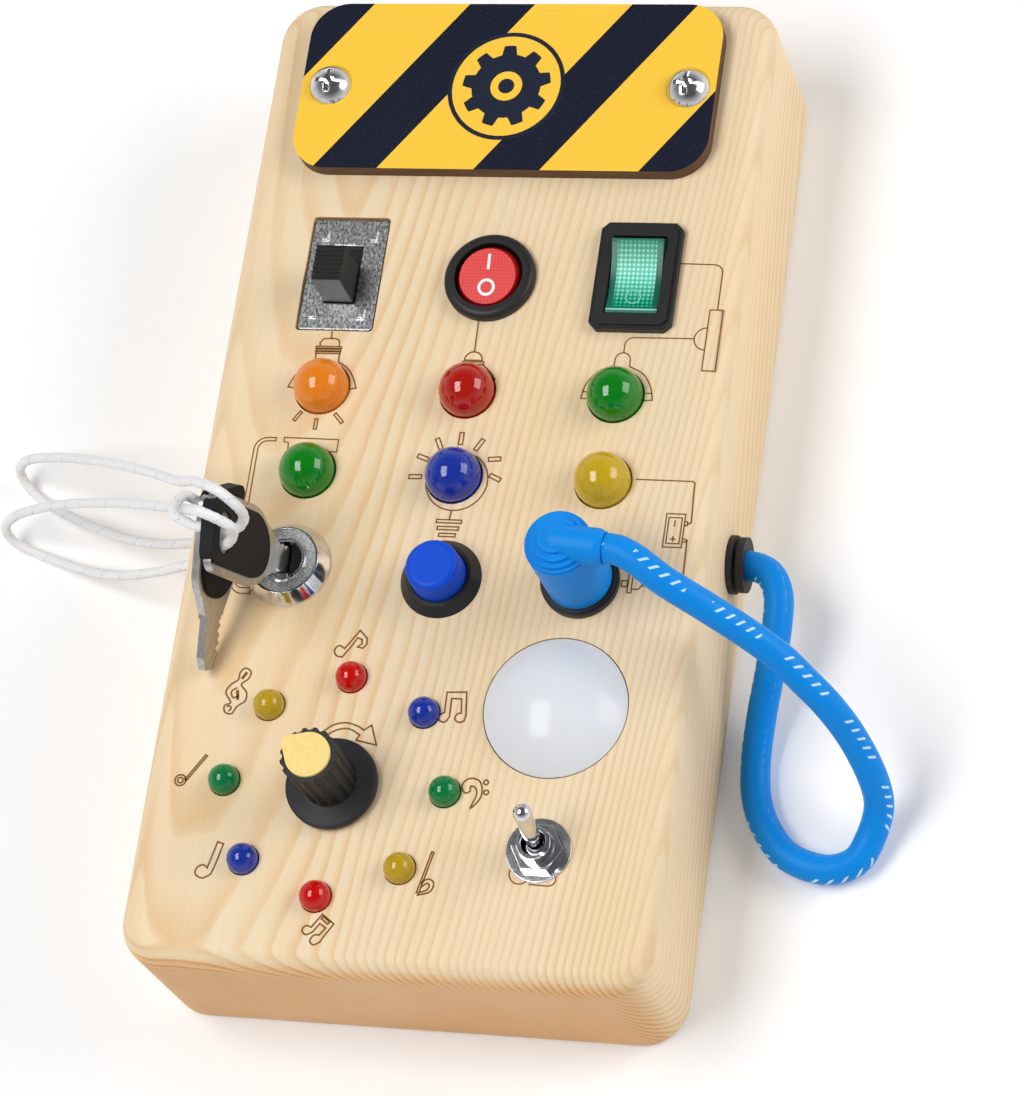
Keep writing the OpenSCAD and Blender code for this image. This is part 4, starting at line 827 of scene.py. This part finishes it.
# %% Burned wires, battery and plug
circuit_lines = [
    # from the rocker through a socket to the lamp, and the lamp's shade
    ([(35.8, 40.45), (42.2, 40.35), *arc(42.3, 38.8, 1.5, 80, 0, 5), (43.8, 31.5)], False),
    ([(42.45, 31.5), (44.85, 31.5), (44.85, 19.7), (42.45, 19.7)], True),
    (arc(42.45, 25.85, 2.15, 90, 270), False),
    ([(40.3, 25.85), (29.3, 25.8), *arc(29.4, 24.3, 1.5, 100, 180, 5), (27.9, 22.8)], False),
    ([(26.5, 20.3), *arc(27.9, 21.4, 1.4, 180, 0, 8), (29.3, 20.2)], False),
    ([*curved([(26.5, 20.3), (23.9, 19.2), (21.9, 16.6), (21.3, 13.8)]), (23, 13.7)], False),
    ([*curved([(29.3, 20.2), (32.1, 18.7), (33.7, 16.2), (34.3, 13.8)]), (32.8, 13.7)], False),
    ([(21.5, 15.05), (23.1, 15.1)], False),
    ([(33, 15.1), (34.1, 15.05)], False),
    # the lead to the lock
    ([(-23.7, 2), (-22.1, 2), (-22.1, 4.4), (-32.3, 4.5), (-32.3, 3.7), (-31.4, 3.5),
      (-31.3, 2)], False),
    ([(-33.8, 3.8), (-35.3, 3.75), *arc(-35.3, 2.1, 1.65, 95, 180, 5), (-36.9, -23.2),
      *arc(-35.5, -23.2, 1.4, 180, 270, 5), (-33.7, -24.6), (-33.7, -25.7), (-35.6, -25.7),
      *arc(-35.4, -23.5, 2.2, 265, 180, 5), (-37.7, 2.2), *arc(-35.4, 2.1, 2.3, 180, 90, 5),
      (-33.8, 4.4)], True),
    # the lamp's wire and the battery with its two signs
    ([(33.4, -1.35), (43.7, -1.4), (44, -1.7), (44.3, -9.1), (44, -9.4), (43.6, -9.4)], False),
    ([(39.8, -7.6), (43.15, -7.6), (43.15, -13.85), (39.8, -13.85)], True),
    ([(40.3, -8.3), (42.65, -8.3), (42.65, -13.15), (40.3, -13.15)], True),
    ([(41.45, -8.8), (41.45, -10)], False),
    ([(41.45, -11.8), (41.45, -12.8)], False),
    ([(40.95, -12.3), (41.95, -12.3)], False),
    ([(43.15, -8.9), (43.7, -9.05), (43.7, -9.7), (43.15, -9.75)], False),
    ([(43.15, -12.1), (44, -12.45), (43.7, -12.8), (43.15, -12.75)], False),
    # the wire to the plug, and the plug
    ([(44, -12.5), (44.2, -19.8), *arc(42.8, -19.8, 1.4, 0, -90, 5), (37.1, -21.2)], False),
    ([(33.5, -20.4), (34.55, -20.4), (34.55, -21.5), (33.5, -21.5)], True),
    ([(34.65, -19), (35.35, -19), (35.35, -22.6), (34.65, -22.6)], True),
    ([(35.4, -19.7), (36.5, -19.8), (37.1, -20.5), (37.1, -21.3), (36.5, -21.9), (35.4, -21.9)],
     False),
    # the lines below the toggle switch
    (arc(23, -74.3, 1.85, 115, 395, 20), False),
    ([(24.8, -76.1), (28.3, -76.2), *arc(28.3, -75, 1.15, -90, 70, 6)], False),
]
strips("burned_circuit_icons", circuit_lines, CIRCUIT_LINE, burn, "board")
print("burned circuit lines:", len(circuit_lines))

# %% [markdown]
# The third set stands round the rotary knob, a sign at each small lamp: an eighth note, a treble
# clef, notes with a stem, beamed notes, a bass clef and a flat. An arrow says which way to turn.

# %% Burned notes and clefs
music_lines = [
    # an eighth note
    ([(-12.2, -31.7), (-10.7, -33.1), (-10.6, -34.2), (-11.2, -35), (-12.2, -34.8),
      (-11.5, -34.2), (-11.6, -33.4), (-12.4, -33.1), (-13.4, -34.8), *curved([(-14.7, -36.8),
      (-15.8, -36.6), (-16.3, -35.6), (-15.6, -34.7), (-14.5, -35.2)]), (-13.3, -33.4)], True),
    # a treble clef
    (curved([(-32, -39.7), (-30.9, -40.4), (-31.2, -41.7), (-32.3, -42.8), (-31.1, -44.2),
             (-31.1, -45.8), (-32.4, -46.9), (-33.2, -48.3), (-34.5, -48), (-34.7, -46.8),
             (-33.7, -46.2), (-34.9, -44.4), (-34.2, -42.9), (-33, -41.9), (-32.9, -40.6)],
            True), True),
    (bar((-31.7, -40.6), (-32.3, -41.6), 0.25), True),
    (curved([(-32.9, -43.4), (-33.9, -44.2), (-33.4, -45.3), (-32.4, -44.9)]), False),
    (bar((-32.8, -44), (-32.5, -45.5), 0.25), True),
    (arc(-33.9, -47.3, 0.45, -90, 150, 8), False),
    # two notes with a stem
    (circle(-40.4, -61, 1), True),
    (circle(-40.4, -61, 0.5, 16), True),
    (bar((-39.45, -60.9), (-36.4, -56.2), 0.38), True),
    ([(-31.6, -71.8), (-30.5, -72.1), (-31.4, -76.2), *curved([(-31.9, -77.7), (-33.3, -78.5),
      (-34.7, -77.8), (-34.5, -76.6), (-33.5, -76.1), (-32.7, -76.6)])], True),
    # the arrow behind the knob
    ([*curved([(-16, -50.8), (-14.2, -49.4), (-12, -48.9), (-9.8, -49.4), (-8.6, -50.1)]),
      (-7.3, -49.1), (-5.9, -52.7), (-9.7, -52),
      *curved([(-9.2, -51), (-11.2, -50), (-13.2, -50.2), (-15, -51.2)])], True),
    # two beamed notes
    ([(5.3, -42.4), (8.8, -42.2), (9.3, -46.4), *curved([(9.1, -47.5), (8.2, -47.8), (7.4, -47.2),
      (7.7, -46.3), (8.4, -46.1)]), (8.1, -43.5), (6.3, -43.5), *curved([(6.4, -46.8),
      (5.8, -47.8), (4.8, -47.7), (4.5, -46.8), (5.4, -46.1)])], True),
    # a bass clef
    (curved([(10.6, -59.6), (10.8, -58.5), (12, -57.8), (13.5, -58.2), (14.2, -59.7),
             (14, -61.5), (12.6, -63.2), (13.3, -61), (13.1, -59.6), (12.1, -59.2),
             (12.1, -60.1), (11.3, -60.5)], True), True),
    (circle(14.7, -58.4, 0.42, 12), True),
    (circle(15, -60.2, 0.42, 12), True),
    # a flat
    (bar((7.2, -71.4), (5.6, -78.8), 0.42), True),
    (curved([(5.9, -77.1), (7.1, -76.2), (8.2, -76.9), (7.7, -78.5), (5.5, -79.2)]), False),
    (curved([(6.1, -77.7), (7, -77), (7.5, -77.4), (7.1, -78.2), (5.9, -78.7)]), False),
    # two notes under a double beam
    ([(-10.6, -83.6), (-8.3, -85.2), (-9.6, -87.3), *curved([(-10.3, -88.6), (-11.4, -89.1),
      (-12.1, -88.4), (-11.5, -87.4), (-10.6, -87.3)]), (-9.6, -86), (-10.8, -85.3),
      *curved([(-11.8, -86.8), (-13, -87.4), (-13.8, -86.6), (-13.2, -85.8), (-12.2, -86)])],
     True),
    (bar((-10.5, -84.2), (-9.2, -85.1), 0.5), True),
]
strips("burned_music_icons", music_lines, MUSIC_LINE, burn, "board")
print("burned music lines:", len(music_lines))

# %% [markdown]
# ## The rocker caps
# Both rockers are clear mouldings with a grid of fine points under the top, which spreads the
# light of the lamp inside. The points are worked out from the place on the cap: two cosines, one
# along each axis, add up to a hill at every point of a square grid. Where the cap's side turns
# away from above, the grid ends and the side is painted a darker colour as shade. The two caps
# share this as a node group, each with its own pitch and colours.

# %% The round red rocker
rocker_grid, given, result = group_tree(
    "rocker grid",
    {"Pitch": "Float", "Gap Color": "Color", "Dot Color": "Color"},
    {"Color": "Color", "Looks Up": "Float"},
)
place, waves = axes(rocker_grid, position(rocker_grid)), []
for axis in (0, 1):
    pitches = calc(rocker_grid, "DIVIDE", place[axis], given["Pitch"])
    turn = calc(rocker_grid, "MULTIPLY", pitches, 2 * math.pi)
    waves.append(calc(rocker_grid, "COSINE", turn))
hills = calc(rocker_grid, "MULTIPLY_ADD", calc(rocker_grid, "ADD", *waves), 0.25, 0.5)
points = ramp(rocker_grid, hills, (0.5, 0.0), (0.7, 1.0))
dotted = blend_colours(rocker_grid, points, given["Gap Color"], given["Dot Color"])
# painted shade: where the surface turns away from above, the cap takes the darker side colour
looks_up = ramp(rocker_grid, facing(rocker_grid)[2], (0.72, 0.0), (0.86, 1.0))
put_out(rocker_grid, result, Color=dotted, Looks_Up=looks_up)


def rocker_skin(name, clear):
    """The shared skin of a rocker cap: clear plastic with a soft shine."""
    return new_material(name, Roughness=0.28, Transmission_Weight=clear, Specular_IOR_Level=0.3)


def rocker_top(tree, pitch, gap, dot):
    """Places the grid in a tree. Returns its outputs, Color and Looks Up."""
    sockets = {"Pitch": pitch, "Gap Color": gap, "Dot Color": dot}
    return add(tree, "Group", sockets, node_tree=rocker_grid).outputs


# the third colour is painted shade for the red cap's sides
RED_GAP, RED_DOT, RED_SHADED_SIDE = (0.78, 0.045, 0.04, 1), (0.66, 0.024, 0.026, 1), (0.36, 0.004, 0.008)

red_clear, tree, skin = rocker_skin("red_rocker", 0.05)
top = rocker_top(tree, 0.62 * MM, RED_GAP, RED_DOT)
# the sides are painted a darker red as shade, and the dotted top shows where the cap faces up
dress(tree, skin, blend_colours(tree, top["Looks Up"], RED_SHADED_SIDE, top["Color"]))
finish(red_clear, "round_rocker_cap")
print("round rocker done")

# %% [markdown]
# The green cap has more to show: a pale grid with a painted glow that is brightest in the middle,
# clear strips beside it, and a painted highlight on a ridge at both ends, where the moulding
# catches the light. Its sides are painted darker as shade, as on the red cap.

# %% The rectangular green rocker
RECT_X, RECT_Y = 28.5 * MM, 37.2 * MM
GRID_HALF_X, GRID_HALF_Y = 3.6 * MM, 6.0 * MM
RIDGE_AT, RIDGE_HALF = 6.6 * MM, 0.14 * MM
GLOW_FULL, GLOW_NONE = 1 * MM, 5 * MM
# A colour ramp only knows places from 0 to 1, so it is fed with centimetres
PER_CM = 100

green_clear, tree, skin = rocker_skin("green_rocker", 0.1)
x, y, _ = axes(tree, position(tree))
off_x = calc(tree, "ABSOLUTE", calc(tree, "SUBTRACT", x, RECT_X))
off_y = calc(tree, "ABSOLUTE", calc(tree, "SUBTRACT", y, RECT_Y))
off_cm = calc(tree, "MULTIPLY", off_y, PER_CM)
# painted glow: the grid's dots and gaps are lighter towards the middle of the cap, as if lit from
# inside
middle = ramp(tree, off_cm, (GLOW_FULL * PER_CM, 1.0), (GLOW_NONE * PER_CM, 0.0))
dots = blend_colours(tree, middle, (0.03, 0.62, 0.38), (0.5, 0.95, 0.83))
gaps = blend_colours(tree, middle, (0.0, 0.2, 0.11), (0.08, 0.62, 0.43))
grid = rocker_top(tree, 0.8 * MM, gaps, dots)
in_x = calc(tree, "LESS_THAN", off_x, GRID_HALF_X)
in_y = calc(tree, "LESS_THAN", off_y, GRID_HALF_Y)
inside = calc(tree, "MULTIPLY", in_x, in_y)
top = blend_colours(tree, inside, (0.01, 0.16, 0.1), grid["Color"])
# painted highlight: a bright line across the cap at the ridge near each end
ridge_highlight = calc(tree, "COMPARE", off_y, RIDGE_AT, RIDGE_HALF)
top = blend_colours(tree, ridge_highlight, top, (0.3, 0.75, 0.66))
# painted shade: where the cap turns away from above, the sides get a darker green
dress(tree, skin, blend_colours(tree, grid["Looks Up"], (0.0, 0.14, 0.08), top))
finish(green_clear, "rect_rocker_cap")
print("rectangular rocker done")

# %% [markdown]
# The rockers carry the usual marks for on and off, printed in white. On the green one a pale ring
# near its lower end is all that shows. The lock has a small dot of green enamel as its index. The
# marks ride on the bodies they are printed on, so they tilt with the caps.

# %% Marks on the rockers and the lock
paint = speckled("white_print", (0.8, 0.8, 0.82), (0.92, 0.92, 0.93), 2500, 2, Roughness=0.5)
pale = new_material("pale_green_print", Base_Color=(0.2, 0.62, 0.48, 1), Roughness=0.4)[0]
enamel = new_material("green_enamel", Base_Color=(0.005, 0.09, 0.03, 1), Roughness=0.3)[0]

on_off = [
    ([(1.4, 40.3), (1.4, 39.3), (1.4, 38.3), (1.4, 37.4)], False),
    (circle(1.4, 34.1, 1.35, 32), True),
]
ring = [(circle(28.5, 33.2, 1.35, 32), True)]
index = [(circle(-28.2, -13.9, 0.32, 16), True)]
strips("round_rocker_marks", on_off, 0.52 * MM, paint, "round_rocker",
       surface_of("round_rocker_cap"))
strips("rect_rocker_mark", ring, 0.24 * MM, pale, "rect_rocker",
       surface_of("rect_rocker_cap"))
strips("lock_mark", index, 0.62 * MM, enamel, "board",
       surface_of("lock_face"))
print("rocker marks done")

# %% [markdown]
# ## The sign plate
# A thin board with black and yellow warning stripes printed on it. The stripes are worked out
# from the place on the plate: a slanted coordinate is cut into equal lengths, and a share of each
# is dark. The plate's cut edge is brown from the laser, in layers.

# %% The striped plate
SIGN_Y = 74.1 * MM
STRIPE_PITCH = 30.8 * MM
STRIPE_SHARE = 0.403
STRIPE_START = 8.34 * MM - 3 * STRIPE_PITCH
STRIPE_LEAN = 1 / math.tan(math.radians(53.5))
NAVY, NAVY_WORN = (0.008, 0.011, 0.026), (0.03, 0.04, 0.07)
YELLOW, YELLOW_WORN = (0.95, 0.58, 0.055), (0.96, 0.58, 0.06)
PRINT = dict(Roughness=0.5, Specular_IOR_Level=0.12)

sign, tree, skin = new_material("striped_sign", **PRINT)
place = position(tree)
x, y, _ = axes(tree, place)
slant = calc(tree, "MULTIPLY_ADD", y, -STRIPE_LEAN, x)
slant = calc(tree, "ADD", slant, SIGN_Y * STRIPE_LEAN - STRIPE_START)
dark = repeated(tree, slant, STRIPE_PITCH, STRIPE_SHARE)
ink = noise(tree, place, 1800, 3, 0.7)
yellow_ink = blend_colours(tree, ramp(tree, ink, (0.4, 0), (0.7, 1)), YELLOW, YELLOW_WORN)
navy_ink = blend_colours(tree, ramp(tree, ink, (0.55, 0), (0.8, 1)), NAVY, NAVY_WORN)
printed = blend_colours(tree, dark, yellow_ink, navy_ink)
layers = noise(tree, stretched(tree, place, (120, 120, 2400)), 1.0)
cut_edge = blend_colours(tree, layers, (0.06, 0.03, 0.018), (0.2, 0.11, 0.06))
on_top = calc(tree, "GREATER_THAN", facing(tree)[2], 0.7)
dress(tree, skin, blend_colours(tree, on_top, cut_edge, printed), bump(tree, ink, 0.05 * MM, 0.4))
finish(sign, "sign_plate")
print("striped plate done")

# %% [markdown]
# In its middle stands a plain cog wheel on a round badge, as a stand-in for any sign. Each layer
# of print is a thin ring of mesh between an outline and a hole with as many points. The full
# discs have a hole too small to see.

# %% The cog wheel on the sign
SIGN_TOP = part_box("sign_plate")[1].z
COG_X, COG_Y, TEETH = -0.5, 74.1, 9
STEPS = 8 * TEETH
BADGE_R, BADGE_LINE, COG_R, COG_ROOT_R, COG_HOLE_R, HUB_R = 11.0, 0.8, 8.3, 6.5, 3.0, 1.5
NO_HOLE = 0.01

navy = speckled("navy_print", NAVY, (0.02, 0.028, 0.05), 1800, **PRINT)
gold = speckled("yellow_print", YELLOW, YELLOW_WORN, 1800, **PRINT)


def plate(name, outline, hole_r, layer, material):
    """A thin printed shape: the ring between an outline of STEPS points and a round hole."""
    top, low = SIGN_TOP + layer * LIFT, SIGN_TOP - SINK
    vertices, faces = [], []
    for px, py in outline + circle(COG_X, COG_Y, hole_r, STEPS):
        vertices += [(px * MM, py * MM, top), (px * MM, py * MM, low)]
    for i in range(STEPS):
        a, b = 2 * i, 2 * ((i + 1) % STEPS)
        c, d = a + 2 * STEPS, b + 2 * STEPS
        faces += [(a, b, d, c), (c + 1, d + 1, b + 1, a + 1)]
        faces += [(b, a, a + 1, b + 1), (c, d, d + 1, c + 1)]
    made = new_object(name, vertices, faces, material, smooth=False)
    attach(made, "board")


def cog(outer, inner):
    """A cog's outline, eight points to a tooth, four of them on the tooth."""
    tips, roots = (circle(COG_X, COG_Y, r, STEPS) for r in (outer, inner))
    return [tips[k] if k % 8 in (1, 2, 3, 4) else roots[k] for k in range(STEPS)]


def disc(r):
    """A round outline at the cog's middle."""
    return circle(COG_X, COG_Y, r, STEPS)


plate("sign_badge", disc(BADGE_R), NO_HOLE, 1, gold)
plate("sign_badge_ring", disc(BADGE_R), BADGE_R - BADGE_LINE, 2, navy)
plate("sign_cog", cog(COG_R, COG_ROOT_R), COG_HOLE_R, 2, navy)
plate("sign_cog_hub", disc(HUB_R), NO_HOLE, 2, navy)
print("sign done")

# %% [markdown]
# ## The floor and the room
# The floor is one large pale sheet. It glows faintly for the camera and in mirrors, so that it
# fades into white without any more light on the board. It lies a hair below the board, and from
# below it can be seen through, so the back can be looked at. The room is white at the horizon and
# dim overhead, which keeps the tops of the glossy parts dark.

# %% Floor and world
FLOOR_HALF = 3.0
FLOOR_GAP = 0.05 * MM
FLOOR_GLOW = 0.1

floor, tree, skin = new_material(
    "pale_floor", Base_Color=(0.93, 0.93, 0.93, 1), Roughness=0.9, Specular_IOR_Level=0,
    Emission_Color=(1, 1, 1, 1),
)
signs = (-1, -1), (1, -1), (1, 1), (-1, 1)
corners = [(x * FLOOR_HALF, y * FLOOR_HALF, -FLOOR_GAP) for x, y in signs]
base = new_object("floor", corners, [(0, 1, 2, 3)], floor, smooth=False)

ray = add(tree, "LightPath").outputs
seen = calc(tree, "MAXIMUM", ray["Is Camera Ray"], ray["Is Glossy Ray"])
seen = calc(tree, "MAXIMUM", seen, ray["Is Transmission Ray"])
tree.links.new(calc(tree, "MULTIPLY", seen, FLOOR_GLOW), skin.inputs["Emission Strength"])
below = add(tree, "NewGeometry").outputs["Backfacing"]
tree.links.new(calc(tree, "SUBTRACT", 1.0, below), skin.inputs["Alpha"])

world = bpy.data.worlds.new("pale room")
bpy.context.scene.world = world
world.use_nodes = True
room = world.node_tree
height = axes(room, add(room, "TexCoord").outputs["Generated"])[2]
light = ramp(room, height, (0.0, 1.0), (0.3, 0.6), (0.7, 0.12))
room.links.new(light, room.nodes["Background"].inputs["Color"])
print("floor and world done")

# %% [markdown]
# ## The light
# Two soft lamps, shaped like windows: the stronger one above and to the left, a weaker one low on
# the right. Because they are panels, round polished parts show two small windows of light. The
# camera can't see the panels themselves.

# %% Lamps
LAMP_AWAY = 0.8


def window(name, way, wide, tall, power):
    """A soft lamp like a window; way is its direction from the board's middle."""
    lamp = bpy.data.lights.new(name, "AREA")
    lamp.shape = "RECTANGLE"
    lamp.size, lamp.size_y = wide, tall
    lamp.energy = power
    made = bpy.data.objects.new(name, lamp)
    bpy.context.collection.objects.link(made)
    back = Vector(way).normalized()
    across = Vector((0, 1, 0)).cross(back).normalized()
    made.location = LAMP_AWAY * back
    made.rotation_euler = Matrix((across, back.cross(across), back)).transposed().to_euler()
    made.visible_camera = False


window("left_window", (-0.35, -0.155, 0.924), 0.32, 0.54, 4.3)
window("right_window", (0.81, 0.26, 0.53), 0.36, 0.54, 2.8)
bpy.context.scene.view_settings.view_transform = "Standard"
print("lights done")
